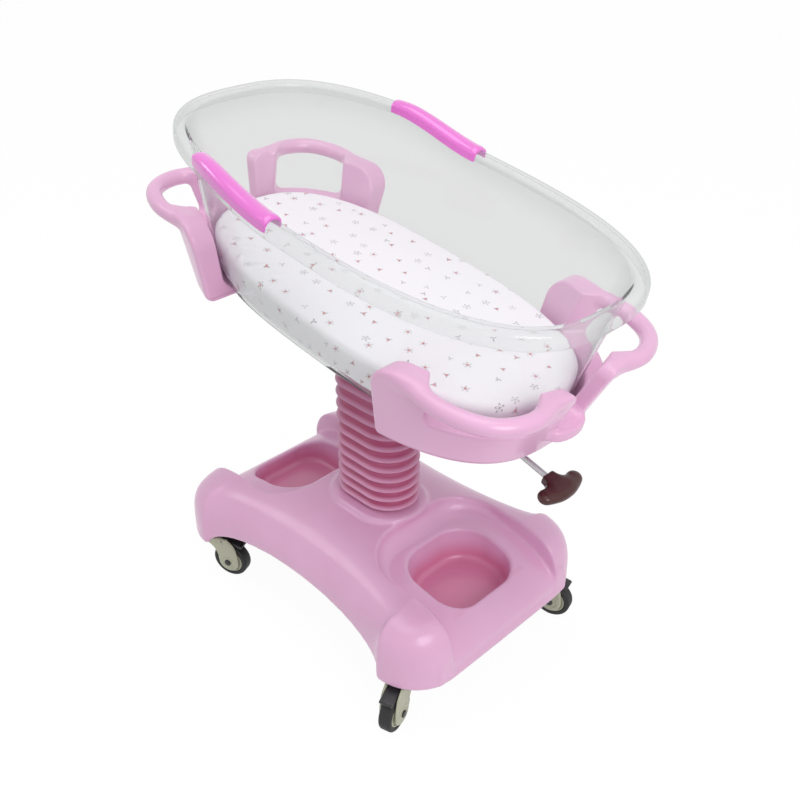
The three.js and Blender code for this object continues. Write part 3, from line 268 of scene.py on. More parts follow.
class BassinetStage(bpy.types.PropertyGroup):
    camera: FloatVectorProperty(
        name="Camera", description="Place of the camera from the column", default=(1.0774, -1.0143, 1.3723), subtype="TRANSLATION"
    )
    target: FloatVectorProperty(
        name="Target", description="Point that the camera looks at, from the column", default=(0.0278, 0.0280, 0.4516),
        subtype="TRANSLATION",
    )
    lens: FloatProperty(name="Lens", description="Focal length in millimetres", default=43.9, unit="CAMERA")
    floor: colour("Floor", "Colour of the floor", (0.90, 0.90, 0.90))
    through: share("Through", "Brightness of the floor behind the clear tub", 0.78)
    world: share("World", "Strength of the even light", 0.48)
    key: FloatProperty(name="Key", description="Power of the soft key light", default=24.0, unit="POWER")
    top: FloatProperty(name="Top", description="Power of the soft light overhead", default=23.0, unit="POWER")


# Shapes as fields: negative inside, so that mouldings join and part with round edges

def joined_round(a, b, radius):
    gap = np.hypot(np.maximum(radius - a, 0), np.maximum(radius - b, 0))
    return np.maximum(radius, np.minimum(a, b)) - gap


def common_round(a, b, radius):
    gap = np.hypot(np.maximum(radius + a, 0), np.maximum(radius + b, 0))
    return np.minimum(-radius, np.maximum(a, b)) + gap


def less_round(a, b, radius):
    return common_round(a, -b, radius)


def field_grid(low, high, step):
    axes = [np.arange(a, b + step, step) for a, b in zip(low, high)]
    return np.meshgrid(*axes, indexing="ij")


def as_distance(field, step):
    slope = np.sqrt(sum(g * g for g in np.gradient(field, step)))
    return field / np.maximum(slope, 1e-3)


def box_plan(x, y, half_x, half_y, radius):
    """Distance to a rectangle in plan whose corners have a radius, given as a number or an array."""
    dx = np.abs(x) - half_x + radius
    dy = np.abs(y) - half_y + radius
    outside = np.hypot(np.maximum(dx, 0), np.maximum(dy, 0))
    return outside + np.minimum(np.maximum(dx, dy), 0) - radius


def polygon_plan(x, y, points):
    """Distance to a closed outline in plan, negative inside."""
    best = np.full(x.shape, np.inf)
    inside = np.zeros(x.shape, bool)
    for (ax, ay), (bx, by) in zip(points, np.roll(points, -1, 0)):
        ex, ey = bx - ax, by - ay
        along = np.clip(((x - ax) * ex + (y - ay) * ey) / max(ex * ex + ey * ey, 1e-12), 0, 1)
        best = np.minimum(best, np.hypot(x - ax - along * ex, y - ay - along * ey))
        if ay != by:
            crosses = (ay > y) != (by > y)
            inside ^= crosses & (x < ex * (y - ay) / ey + ax)
    return np.where(inside, -best, best)


def path_distance(x, y, z, points):
    best = np.full(x.shape, np.inf)
    for a, b in zip(points[:-1], points[1:]):
        e = b - a
        along = ((x - a[0]) * e[0] + (y - a[1]) * e[1] + (z - a[2]) * e[2]) / (e @ e)
        along = np.clip(along, 0, 1)
        gap = (x - a[0] - along * e[0]) ** 2 + (y - a[1] - along * e[1]) ** 2 + (z - a[2] - along * e[2]) ** 2
        best = np.minimum(best, gap)
    return np.sqrt(best)


def skin_of(field, low, step):
    """Points and quads on the zero level of a field."""
    field = np.pad(field, 1, constant_values=step)
    cells = tuple(n - 1 for n in field.shape)
    total = int(np.prod(cells))
    sums = np.zeros((3, total))
    count = np.zeros(total)
    quads = []
    for axis in range(3):
        first = [slice(None)] * 3
        second = [slice(None)] * 3
        first[axis] = slice(0, -1)
        second[axis] = slice(1, None)
        a, b = field[tuple(first)], field[tuple(second)]
        crossing = (a < 0) != (b < 0)
        at = np.argwhere(crossing)
        a, b = a[crossing], b[crossing]
        point = at.astype(float)
        point[:, axis] += a / (a - b)
        loops = []
        for back_u, back_v in ((0, 0), (1, 0), (1, 1), (0, 1)):
            cell = at.copy()
            cell[:, (axis + 1) % 3] -= back_u
            cell[:, (axis + 2) % 3] -= back_v
            flat = np.ravel_multi_index(cell.T, cells)
            count += np.bincount(flat, minlength=total)
            for k in range(3):
                sums[k] += np.bincount(flat, weights=point[:, k], minlength=total)
            loops.append(flat)
        quad = np.stack(loops, 1)
        quad[a >= 0] = quad[a >= 0][:, ::-1]
        quads.append(quad)
    used = np.flatnonzero(count)
    rename = np.zeros(total, int)
    rename[used] = np.arange(len(used))
    points = (sums[:, used] / count[used]).T
    return (points - 1) * step + np.array(low), rename[np.concatenate(quads)]


def relaxed(points, faces, rounds, strength=0.5):
    """Evens out the small ripples of a skin."""
    a = faces.ravel()
    b = np.roll(faces, -1, 1).ravel()
    count = np.bincount(a, minlength=len(points)) + np.bincount(b, minlength=len(points))
    for pull in [strength, -strength * 1.04] * rounds:
        mean = np.stack([
            np.bincount(a, points[b, k], len(points)) + np.bincount(b, points[a, k], len(points))
            for k in range(3)
        ], 1) / count[:, None]
        points = points + pull * (mean - points)
    return points


# Meshes

def new_piece(name, points, faces, place=None):
    mesh = bpy.data.meshes.new(name)
    mesh.from_pydata([tuple(p) for p in points], [], [tuple(int(i) for i in f) for f in faces])
    if place is not None:
        mesh.transform(place)
    mesh.update()
    mesh.shade_smooth()
    piece = bpy.data.objects.new(name, mesh)
    bpy.context.scene.collection.objects.link(piece)
    return piece


def ring_faces(rings, count, closed):
    faces = []
    for r in range(rings if closed else rings - 1):
        low, high = r * count, ((r + 1) % rings) * count
        for i in range(count):
            j = (i + 1) % count
            faces.append((low + i, low + j, high + j, high + i))
    return faces


def lofted(rings, closed=False):
    """Skin through rings of equally many points, with flat ends or closed on itself."""
    count = len(rings[0])
    faces = ring_faces(len(rings), count, closed)
    if not closed:
        faces.append(tuple(range(count))[::-1])
        faces.append(tuple(range((len(rings) - 1) * count, len(rings) * count)))
    return np.concatenate(rings), faces


def turned(profile, sides):
    """A profile of (radius, height) pairs turned about Z into rings of points."""
    angle = np.linspace(0, 2 * math.pi, sides, endpoint=False)
    rings = [np.stack([r * np.cos(angle), r * np.sin(angle), np.full(sides, z)], 1) for r, z in profile]
    return rings


def mark(piece, name, values):
    """Stores one value for each point of a piece, for its material."""
    attribute = piece.data.attributes.new(name, "FLOAT", "POINT")
    attribute.data.foreach_set("value", np.asarray(values, np.float32))


def keep_sharp(piece, degrees):
    piece.data.set_sharp_from_angle(angle=math.radians(degrees))


def dress(piece, body, slot, material, *nodes):
    piece.data.materials.clear()
    piece.data.materials.append(material)
    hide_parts(*nodes)
    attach(piece, body)
    return piece


def copied_node(node, bevel):
    """A copy of a node's mesh with its facets merged and its edges broken."""
    mesh = NODES[node].data.copy()
    mesh.name = f"{node}_finished"
    edit = bmesh.new()
    edit.from_mesh(mesh)
    bmesh.ops.remove_doubles(edit, verts=edit.verts, dist=2e-5)
    bmesh.ops.dissolve_limit(edit, angle_limit=math.radians(1), verts=edit.verts, edges=edit.edges)
    sharp = [e for e in edit.edges if len(e.link_faces) == 2 and e.calc_face_angle(0) > math.radians(50)]
    if bevel > 0:
        bmesh.ops.bevel(edit, geom=sharp, offset=bevel, segments=2, profile=0.5, affect="EDGES", clamp_overlap=True)
    edit.to_mesh(mesh)
    edit.free()
    mesh.shade_smooth()
    mesh.set_sharp_from_angle(angle=math.radians(40))
    piece = bpy.data.objects.new(f"{node}_finished", mesh)
    bpy.context.scene.collection.objects.link(piece)
    return piece


# Node trees

def add(tree, kind, inputs=None, **settings):
    node = tree.nodes.new(kind)
    for name, value in settings.items():
        setattr(node, name, value)
    for key, value in (inputs or {}).items():
        if isinstance(value, bpy.types.NodeSocket):
            tree.links.new(value, node.inputs[key])
        else:
            node.inputs[key].default_value = value
    return node


def maths(tree, operation, a, b=None, c=None, clamp=False):
    inputs = {i: v for i, v in enumerate((a, b, c)) if v is not None}
    kind = "ShaderNodeMath"
    return add(tree, kind, inputs, operation=operation, use_clamp=clamp).outputs[0]


def new_group(name, kind, inputs, outputs):
    group = bpy.data.node_groups.new(name, kind)
    for label, socket, default in inputs:
        made = group.interface.new_socket(label, in_out="INPUT", socket_type=socket)
        if default is not None:
            made.default_value = default
    for label, socket in outputs:
        group.interface.new_socket(label, in_out="OUTPUT", socket_type=socket)
    return group, add(group, "NodeGroupInput"), add(group, "NodeGroupOutput")


def mixed(tree, factor, a, b):
    node = add(tree, "ShaderNodeMix", data_type="RGBA")
    for socket, value in ((0, factor), (6, a), (7, b)):
        if isinstance(value, bpy.types.NodeSocket):
            tree.links.new(value, node.inputs[socket])
        else:
            node.inputs[socket].default_value = value
    return node.outputs[2]


def ranged(tree, value, low, high, to_low, to_high):
    inputs = {"Value": value, "From Min": low, "From Max": high, "To Min": to_low, "To Max": to_high}
    return add(tree, "ShaderNodeMapRange", inputs).outputs[0]


def grain_group():
    """Fine moulded grain with a slow drift of tone and gloss over the surface."""
    name = "moulded_grain"
    if name in bpy.data.node_groups:
        return bpy.data.node_groups[name]
    group, taken, given = new_group(
        name, "ShaderNodeTree",
        [("Vector", "NodeSocketVector", None), ("Grain", "NodeSocketFloat", 900.0), ("Drift", "NodeSocketFloat", 7.0)],
        [("Height", "NodeSocketFloat"), ("Tone", "NodeSocketFloat"), ("Gloss", "NodeSocketFloat")],
    )
    fine = add(group, "ShaderNodeTexNoise", {
        "Vector": taken.outputs["Vector"], "Scale": taken.outputs["Grain"], "Detail": 2.0,
    })
    slow = add(group, "ShaderNodeTexNoise", {
        "Vector": taken.outputs["Vector"], "Scale": taken.outputs["Drift"], "Detail": 3.0,
    })
    patch = add(group, "ShaderNodeTexNoise", {
        "Vector": taken.outputs["Vector"], "Scale": maths(group, "MULTIPLY", taken.outputs["Drift"], 4.3),
        "Detail": 4.0, "Roughness": 0.6,
    })
    group.links.new(fine.outputs["Fac"], given.inputs["Height"])
    group.links.new(ranged(group, slow.outputs["Fac"], 0.35, 0.65, 0.0, 1.0), given.inputs["Tone"])
    group.links.new(ranged(group, patch.outputs["Fac"], 0.3, 0.7, 0.0, 1.0), given.inputs["Gloss"])
    return group


def weave_group():
    """Plain weave: threads over and under in two directions."""
    name = "plain_weave"
    if name in bpy.data.node_groups:
        return bpy.data.node_groups[name]
    group, taken, given = new_group(
        name, "ShaderNodeTree",
        [("Vector", "NodeSocketVector", None), ("Pitch", "NodeSocketFloat", 0.0011)],
        [("Height", "NodeSocketFloat"), ("Tone", "NodeSocketFloat")],
    )
    split = add(group, "ShaderNodeSeparateXYZ", {"Vector": taken.outputs["Vector"]})
    turns = maths(group, "DIVIDE", 2 * math.pi, taken.outputs["Pitch"])
    across = maths(group, "SINE", maths(group, "MULTIPLY", split.outputs["X"], turns))
    along = maths(group, "SINE", maths(group, "MULTIPLY", split.outputs["Y"], turns))
    over = maths(group, "MULTIPLY", across, along)
    group.links.new(ranged(group, over, -1.0, 1.0, 0.0, 1.0), given.inputs["Height"])
    slub = add(group, "ShaderNodeTexNoise", {"Vector": taken.outputs["Vector"], "Scale": 160.0, "Detail": 3.0})
    group.links.new(slub.outputs["Fac"], given.inputs["Tone"])
    return group


def print_group():
    """Small flowers, sprigs and dots, one in each random cell, some with a bright heart."""
    name = "scattered_print"
    if name in bpy.data.node_groups:
        return bpy.data.node_groups[name]
    group, taken, given = new_group(
        name, "ShaderNodeTree",
        [("Vector", "NodeSocketVector", None), ("Cell", "NodeSocketFloat", 0.039), ("Size", "NodeSocketFloat", 0.20)],
        [("Mask", "NodeSocketFloat"), ("Tint", "NodeSocketFloat")],
    )
    scale = maths(group, "DIVIDE", 1.0, taken.outputs["Cell"])
    spread = add(group, "ShaderNodeVectorMath", {0: taken.outputs["Vector"]}, operation="SCALE")
    group.links.new(scale, spread.inputs["Scale"])
    cell = add(group, "ShaderNodeTexVoronoi", {"Vector": spread.outputs[0], "Scale": 1.0, "Randomness": 0.75},
               voronoi_dimensions="2D")
    local = add(group, "ShaderNodeVectorMath", {0: spread.outputs[0], 1: cell.outputs["Position"]},
                operation="SUBTRACT")
    split = add(group, "ShaderNodeSeparateXYZ", {"Vector": local.outputs[0]})
    chance = add(group, "ShaderNodeSeparateColor", {"Color": cell.outputs["Color"]})
    radius = maths(group, "DIVIDE", maths(group, "SQRT", maths(
        group, "ADD",
        maths(group, "MULTIPLY", split.outputs["X"], split.outputs["X"]),
        maths(group, "MULTIPLY", split.outputs["Y"], split.outputs["Y"]),
    )), taken.outputs["Size"])
    turn = maths(group, "MULTIPLY", chance.outputs["Green"], 2 * math.pi)
    angle = maths(group, "ADD", maths(group, "ARCTAN2", split.outputs["Y"], split.outputs["X"]), turn)

    def inside(limit, soft=0.08):
        return ranged(group, maths(group, "SUBTRACT", limit, radius), -soft, soft, 0.0, 1.0)

    petals = maths(group, "ADD", 0.62, maths(group, "MULTIPLY", 0.30, maths(
        group, "COSINE", maths(group, "MULTIPLY", angle, 5.0))))
    flower = maths(group, "SUBTRACT", inside(petals), inside(maths(group, "MULTIPLY", petals, 0.68)), clamp=True)
    flower = maths(group, "MAXIMUM", flower, inside(0.20))
    leaf = maths(group, "MULTIPLY", 0.78, maths(group, "POWER", maths(
        group, "ABSOLUTE", maths(group, "COSINE", maths(group, "MULTIPLY", angle, 1.5))), 3.0))
    sprig = inside(leaf, 0.05)
    dots = maths(group, "MULTIPLY", inside(maths(group, "ADD", 0.34, maths(
        group, "MULTIPLY", 0.34, maths(group, "SINE", maths(group, "MULTIPLY", angle, 3.0))))), 0.9)
    pick = chance.outputs["Blue"]
    is_flower = maths(group, "LESS_THAN", pick, 0.45)
    is_dots = maths(group, "GREATER_THAN", pick, 0.78)
    is_sprig = maths(group, "SUBTRACT", maths(group, "SUBTRACT", 1.0, is_flower), is_dots, clamp=True)
    mask = maths(group, "ADD", maths(group, "MULTIPLY", is_flower, flower), maths(
        group, "ADD", maths(group, "MULTIPLY", is_sprig, sprig), maths(group, "MULTIPLY", is_dots, dots)), clamp=True)
    heart = maths(group, "MULTIPLY", inside(0.34), maths(group, "LESS_THAN", chance.outputs["Red"], 0.5))
    outlined = maths(group, "MULTIPLY", mask, ranged(group, chance.outputs["Green"], 0.0, 1.0, 0.45, 0.9))
    group.links.new(maths(group, "MAXIMUM", outlined, heart), given.inputs["Mask"])
    group.links.new(heart, given.inputs["Tint"])
    return group


def new_material(name):
    material = bpy.data.materials.new(name)
    material.use_nodes = True
    tree = material.node_tree
    tree.nodes.clear()
    shader = add(tree, "ShaderNodeBsdfPrincipled")
    add(tree, "ShaderNodeOutputMaterial", {"Surface": shader.outputs[0]})
    return material, tree, shader


def material_output(tree):
    return tree.get_output_node("ALL").inputs["Surface"]


def object_place(tree):
    return add(tree, "ShaderNodeTexCoord").outputs["Object"]


def moulded(name, light, deep, rough, grain=900.0, bump=0.05, metallic=0.0, coat=0.0, hollow=None, seam=None):
    """Moulded or coated surface: grain in the bump, drift in tone and gloss, painted shade deepening the hollows, a
    parting line.
    """
    material, tree, shader = new_material(name)
    surface = add(tree, "ShaderNodeGroup", node_tree=grain_group())
    tree.links.new(object_place(tree), surface.inputs["Vector"])
    surface.inputs["Grain"].default_value = grain
    tone = mixed(tree, surface.outputs["Tone"], light, deep)
    # Painted shade in the wells, where the piece's own mask is high.
    if hollow is not None:
        depth = add(tree, "ShaderNodeAttribute", attribute_name="hollow").outputs["Fac"]
        tone = mixed(tree, depth, tone, hollow)
    gloss = ranged(tree, surface.outputs["Gloss"], 0.0, 1.0, rough * 0.85, rough * 1.15)
    tree.links.new(gloss, shader.inputs["Roughness"])
    relief = add(tree, "ShaderNodeBump", {"Height": surface.outputs["Height"], "Strength": bump, "Distance": 0.0004})
    if seam is not None:
        normal, height = seam
        level = add(tree, "ShaderNodeVectorMath", {0: object_place(tree), 1: normal}, operation="DOT_PRODUCT")
        gap = maths(tree, "ABSOLUTE", maths(tree, "SUBTRACT", level.outputs["Value"], height))
        groove = ranged(tree, gap, 0.0005, 0.0014, 0.45, 0.0)
        tone = mixed(tree, groove, tone, scaled(deep, 0.5))
    tree.links.new(tone, shader.inputs["Base Color"])
    tree.links.new(relief.outputs[0], shader.inputs["Normal"])
    shader.inputs["Metallic"].default_value = metallic
    shader.inputs["Coat Weight"].default_value = coat
    shader.inputs["Coat Roughness"].default_value = 0.12
    return material


def scaled(colour_value, factor):
    return (*[c * factor for c in colour_value[:3]], 1.0)


def moulding_material(finish):
    return moulded("pink_moulding", finish.moulding, finish.moulding_deep, 0.34, bump=0.06, coat=0.35, hollow=finish.hollow)


def cradle_material(finish):
    scene = bpy.context.scene
    cradles = scene.bassinet_cradles
    height = scene.bassinet_tub.seat - cradles.floor + cradles.seam + PIVOT.dot(BED_UP)
    return moulded("cradle_moulding", finish.moulding, finish.moulding_deep, 0.34, bump=0.06, coat=0.35,
                   seam=(BED_UP, height))


def bellows_material(finish):
    """Rubber with painted shade that deepens its tone into the folds, by the piece's own attribute."""
    material, tree, shader = new_material("bellows_rubber")
    surface = add(tree, "ShaderNodeGroup", node_tree=grain_group())
    tree.links.new(object_place(tree), surface.inputs["Vector"])
    fold = add(tree, "ShaderNodeAttribute", attribute_name="fold").outputs["Fac"]
    # Painted shade: the tone darkens from the crests into the grooves of the folds.
    base = mixed(tree, ranged(tree, fold, 0.38, 0.78, 0.0, 1.0), finish.groove, finish.bellows)
    tint = maths(tree, "MULTIPLY", surface.outputs["Tone"], 0.2)
    tree.links.new(mixed(tree, tint, base, finish.moulding_deep), shader.inputs["Base Color"])
    tree.links.new(ranged(tree, surface.outputs["Gloss"], 0.0, 1.0, 0.38, 0.5), shader.inputs["Roughness"])
    relief = add(tree, "ShaderNodeBump", {"Height": surface.outputs["Height"], "Strength": 0.08, "Distance": 0.0004})
    tree.links.new(relief.outputs[0], shader.inputs["Normal"])
    return material


def acrylic_material(finish):
    """Polished clear sheet that lets lamp light and bounced light straight through, with painted shade along its bends
    and at grazing angles.
    """
    material, tree, shader = new_material("clear_acrylic")
    surface = add(tree, "ShaderNodeGroup", node_tree=grain_group())
    tree.links.new(object_place(tree), surface.inputs["Vector"])
    surface.inputs["Drift"].default_value = 16.0
    rim = add(tree, "ShaderNodeAttribute", attribute_name="rim").outputs["Fac"]
    line = add(tree, "ShaderNodeAttribute", attribute_name="line").outputs["Fac"]
    sheen = ranged(tree, surface.outputs["Gloss"], 0.0, 1.0, 0.01, 0.04)
    tree.links.new(maths(tree, "MULTIPLY_ADD", rim, 0.03, sheen), shader.inputs["Roughness"])
    # Painted shade: the tint darkens along the marked bends and towards grazing angles.
    grazing = add(tree, "ShaderNodeLayerWeight", {"Blend": 0.5}).outputs["Facing"]
    deep = maths(tree, "MAXIMUM", line, ranged(tree, grazing, 0.45, 0.98, 0.0, 1.0))
    tree.links.new(mixed(tree, deep, finish.acrylic, finish.acrylic_painted_shade), shader.inputs["Base Color"])
    tree.links.new(ranged(tree, rim, 0.0, 1.0, 0.95, 0.94), shader.inputs["Transmission Weight"])
    shader.inputs["IOR"].default_value = 1.02
    shader.inputs["Coat Weight"].default_value = 0.3
    shader.inputs["Coat Roughness"].default_value = 0.04
    rays = add(tree, "ShaderNodeLightPath")
    passed = maths(tree, "MAXIMUM", rays.outputs["Is Shadow Ray"], rays.outputs["Is Diffuse Ray"])
    clear = add(tree, "ShaderNodeBsdfTransparent", {"Color": finish.acrylic})
    both = add(tree, "ShaderNodeMixShader", {0: passed, 1: shader.outputs[0], 2: clear.outputs[0]})
    tree.links.new(both.outputs[0], material_output(tree))
    return material


def cotton_material(finish):
    material, tree, shader = new_material("printed_cotton")
    flat = add(tree, "ShaderNodeUVMap", uv_map="cloth").outputs[0]
    weave = add(tree, "ShaderNodeGroup", node_tree=weave_group())
    tree.links.new(flat, weave.inputs["Vector"])
    motif = add(tree, "ShaderNodeGroup", node_tree=print_group())
    tree.links.new(flat, motif.inputs["Vector"])
    ink = mixed(tree, motif.outputs["Tint"], finish.print_grey, finish.print_red)
    ground = mixed(tree, maths(tree, "MULTIPLY", weave.outputs["Tone"], 0.3), finish.cotton, scaled(finish.cotton, 0.93))
    worn = maths(tree, "MULTIPLY", motif.outputs["Mask"], ranged(tree, weave.outputs["Tone"], 0.3, 0.7, 0.62, 0.95))
    tree.links.new(mixed(tree, worn, ground, ink), shader.inputs["Base Color"])
    tree.links.new(ranged(tree, weave.outputs["Tone"], 0.2, 0.8, 0.82, 0.95), shader.inputs["Roughness"])
    relief = add(tree, "ShaderNodeBump", {"Height": weave.outputs["Height"], "Strength": 0.12, "Distance": 0.0003})
    tree.links.new(relief.outputs[0], shader.inputs["Normal"])
    shader.inputs["Sheen Weight"].default_value = 0.15
    shader.inputs["Sheen Roughness"].default_value = 0.5
    return material


def ticking_material(finish):
    material, tree, shader = new_material("mattress_cover")
    weave = add(tree, "ShaderNodeGroup", node_tree=weave_group())
    tree.links.new(object_place(tree), weave.inputs["Vector"])
    weave.inputs["Pitch"].default_value = 0.0016
    ground = mixed(tree, weave.outputs["Tone"], finish.foam, scaled(finish.foam, 0.88))
    tree.links.new(ground, shader.inputs["Base Color"])
    relief = add(tree, "ShaderNodeBump", {"Height": weave.outputs["Height"], "Strength": 0.2, "Distance": 0.0004})
    tree.links.new(relief.outputs[0], shader.inputs["Normal"])
    shader.inputs["Roughness"].default_value = 0.9
    return material


MATERIALS = {}


def material_of(name):
    """The bassinet's materials, each made once from the finish settings."""
    finish = bpy.context.scene.bassinet_finish
    makers = {
        "moulding": lambda: moulding_material(finish),
        "cradles": lambda: cradle_material(finish),
        "bellows": lambda: bellows_material(finish),
        "acrylic": lambda: acrylic_material(finish),
        "grips": lambda: moulded("glossy_grip", finish.grips, scaled(finish.grips, 0.94), 0.14, bump=0.02, coat=1.0),
        "cotton": lambda: cotton_material(finish),
        "ticking": lambda: ticking_material(finish),
        "steel": lambda: moulded("zinc_steel", finish.steel, scaled(finish.steel, 0.85), 0.35, bump=0.1, metallic=1.0),
        "frame": lambda: moulded("coated_steel", finish.frame, scaled(finish.frame, 0.8), 0.5, grain=500.0, bump=0.25),
        "fork": lambda: moulded("caster_plastic", finish.fork, scaled(finish.fork, 0.88), 0.42, bump=0.12),
        "rubber": lambda: moulded("tyre_rubber", finish.rubber, scaled(finish.rubber, 1.6), 0.6, grain=600.0, bump=0.2),
        "black": lambda: moulded("black_plastic", finish.black, scaled(finish.black, 1.5), 0.4, bump=0.12),
        "lever": lambda: moulded("lever_plastic", finish.lever, scaled(finish.lever, 0.8), 0.30, bump=0.03, coat=0.1),
    }
    if name not in MATERIALS:
        MATERIALS[name] = makers[name]()
    return MATERIALS[name]


# The tub's outline

def smooth_share(x, start, end):
    t = np.clip((x - start) / (end - start), 0, 1)
    return t * t * (3 - 2 * t)


def rim_height(tub, x):
    high = tub.seat + tub.depth + tub.head_rise
    return high - tub.head_rise * smooth_share(x, tub.slope_start, tub.slope_end)


def wall_inset(tub, height):
    return tub.roll_width + (tub.seat + tub.depth - tub.roll_rise - height) * tub.slope


def signed_power(value, power):
    return np.sign(value) * np.abs(value) ** power


def oval_point(tub, angle, inset):
    x = tub.shift + (tub.length / 2 - inset) * signed_power(np.cos(angle), 2 / tub.power)
    y = (tub.width / 2 - inset) * signed_power(np.sin(angle), 2 / tub.power)
    return x, y


def even_angles(sides):
    return np.linspace(0, 2 * math.pi, sides, endpoint=False)


def tub_ring(tub, inset_at, height_at, sides, angle=None):
    angle = even_angles(sides) if angle is None else angle
    height = height_at(oval_point(tub, angle, 0)[0])
    x, y = oval_point(tub, angle, inset_at(height))
    return np.stack([x, y, np.broadcast_to(height, x.shape)], 1)


def bottom_rings(tub, bottom, radius, grow, steps, sides):
    rings = []
    for i in range(steps + 1):
        a = i / steps * math.pi / 2
        inset = wall_inset(tub, bottom + radius) - grow + radius * (1 - math.sin(a))
        height = bottom + radius * (1 - math.cos(a))
        rings.append(tub_ring(tub, lambda h, inset=inset: inset, lambda x, height=height: height, sides))
    return rings


def roll_rings(tub, depth, drop, steps, sides):
    """Rings over the rolled rim, from its outer edge to the wall, at a depth under its skin."""
    def ring(inset_at, rise):
        return tub_ring(tub, inset_at, lambda x: rim_height(tub, x) + rise, sides)

    rings = [ring(lambda h: depth, -drop)]
    for i in range(steps + 1):
        a = i / steps * math.pi / 2
        inset = tub.roll_crest - (tub.roll_crest - depth) * math.cos(a)
        rise = -tub.roll_round + (tub.roll_round - depth) * math.sin(a)
        rings.append(ring(lambda h, inset=inset: inset, rise))
    for i in range(1, steps + 1):
        a = (1 - i / steps) * math.pi / 2
        rise = -tub.roll_rise + (tub.roll_rise - depth) * math.sin(a)
        rings.append(ring(
            lambda h, a=a: tub.roll_crest + (wall_inset(tub, h) + tub.wall - depth - tub.roll_crest) * math.cos(a),
            rise,
        ))
    return rings


def between_rings(first, second, steps):
    return [first + (second - first) * i / steps for i in range(1, steps)]


def oval_distance(tub, x, y, inset, flare=1.0):
    """Rough distance to the tub's outline at an inset."""
    half_x = np.maximum(tub.length / 2 - inset, 1e-3)
    half_y = np.maximum(tub.width / 2 - inset, 1e-3) * flare
    reach = (np.abs((x - tub.shift) / half_x) ** tub.power + np.abs(y / half_y) ** tub.power) ** (1 / tub.power)
    return (reach - 1) * np.minimum(half_x, half_y)


# Operators

class PieceOperator:
    bl_options = {"REGISTER", "UNDO"}


class BASSINET_OT_base(PieceOperator, bpy.types.Operator):
    """Mould the base cover with its trays, wells and bellows pad"""
    bl_idname = "bassinet.base"
    bl_label = "Base cover"

    def execute(self, context):
        base = context.scene.bassinet_base
        bellows = context.scene.bassinet_bellows
        half = base.length / 2
        margin = 4 * base.step
        low = (-half - margin, -base.width / 2 - margin, -margin)
        high = (half + margin, base.width / 2 + margin, base.deck + base.pad_rise + margin)
        x, y, z = field_grid(low, high, base.step)

        def arch():
            return np.sqrt(np.maximum(0, 1 - np.minimum(1, np.abs(x) / (base.arch_length / 2)) ** 2))

        def nose(distance, length, power):
            return (1 - np.clip(distance / length, 0, 1) ** power) ** (1 / power)

        def body():
            corner = base.corner
            rounding = nose(np.abs(x) - (half - corner), corner, 2)
            half_width = base.width / 2 - base.waist * arch() - corner * (1 - rounding)
            crown = base.deck + (base.leg - base.deck) * (np.abs(x) / half) ** 2
            spring = base.arch_rise * arch()
            height = (crown - spring) * nose(np.abs(x) - (half - base.nose), base.nose, base.nose_power)
            height = np.maximum(height, 2e-3)
            power = base.deck_power + (base.leg_power - base.deck_power) * (1 - arch())
            rise = np.maximum(z - spring, 0) / height
            across = np.abs(y) / np.maximum(half_width, 2e-3)
            side = ((across ** power + rise ** power) ** (1 / power) - 1) * 0.08
            side = np.maximum(as_distance(side, base.step), np.abs(x) - half)
            return side, as_distance(spring - z, base.step)

        def tray(end):
            along = np.clip(end * x - base.tray_start, 0, half - base.tray_start)
            top = base.tray_height * nose(along, half - base.tray_start, base.tray_power)
            middle = (base.tray_start + 2 * half) / 2
            plan = box_plan(end * x - middle, y, 2 * half - middle, base.tray_width / 2, base.tray_corner)
            above = as_distance(np.maximum(top, 0) - z, base.step)
            return common_round(plan, above, 0.005 + 0.026 * smooth_share(-end * x, -0.24, -0.12))

        def well(end, wall=0.0):
            middle = base.well_start + base.well_length / 2
            share = np.clip((z - base.well_floor) / (base.tray_height - base.well_floor), 0, 1)
            draft = base.well_draft * (1 - share) - wall
            corner = np.where(end * x < middle, base.well_corner, base.well_front)
            plan = box_plan(end * x - middle, y, base.well_length / 2 - draft, base.well_width / 2 - draft, corner)
            return common_round(plan, base.well_floor - wall - z, 0.010)

        top, under = body()
        straight = bellows.half_x - bellows.half_y
        pad_plan = np.hypot(np.maximum(np.abs(x + base.shift) - straight, 0), y)
        pad_plan = pad_plan - bellows.half_y - base.pad_margin
        pad = common_round(pad_plan, np.abs(z - base.deck + base.pad_rise) - 2 * base.pad_rise, 0.003)
        for end in (1, -1):
            top = less_round(top, tray(end), base.edge)
        top = joined_round(top, pad, 0.006)
        for end in (1, -1):
            top = less_round(top, well(end), base.well_edge)
            under = np.minimum(under, well(end, base.wall))
        shell = np.maximum(common_round(top, under, 0.006), -top - base.wall)
        shell = np.maximum(shell, base.bore - np.hypot(x + base.shift, y))
        points, faces = skin_of(shell, low, base.step)
        points = relaxed(points, faces, 3)
        place = Matrix.Translation((PIVOT.x + base.shift, 0, base.lift))
        piece = new_piece("base_shell", points, faces, place)
        # Mask for the painted shade low in the wells, from 0 at the rim to 1 deep down.
        across = np.abs(points[:, 1]) < base.well_width / 2
        along = np.abs(np.abs(points[:, 0]) - base.well_start - base.well_length / 2) < base.well_length / 2
        depth = np.clip((base.tray_height - 0.022 - points[:, 2]) / 0.030, 0, 1) * (across & along)
        mark(piece, "hollow", depth)
        dress(piece, "base", "pink_plastic", material_of("moulding"), "base_cover")
        return {"FINISHED"}


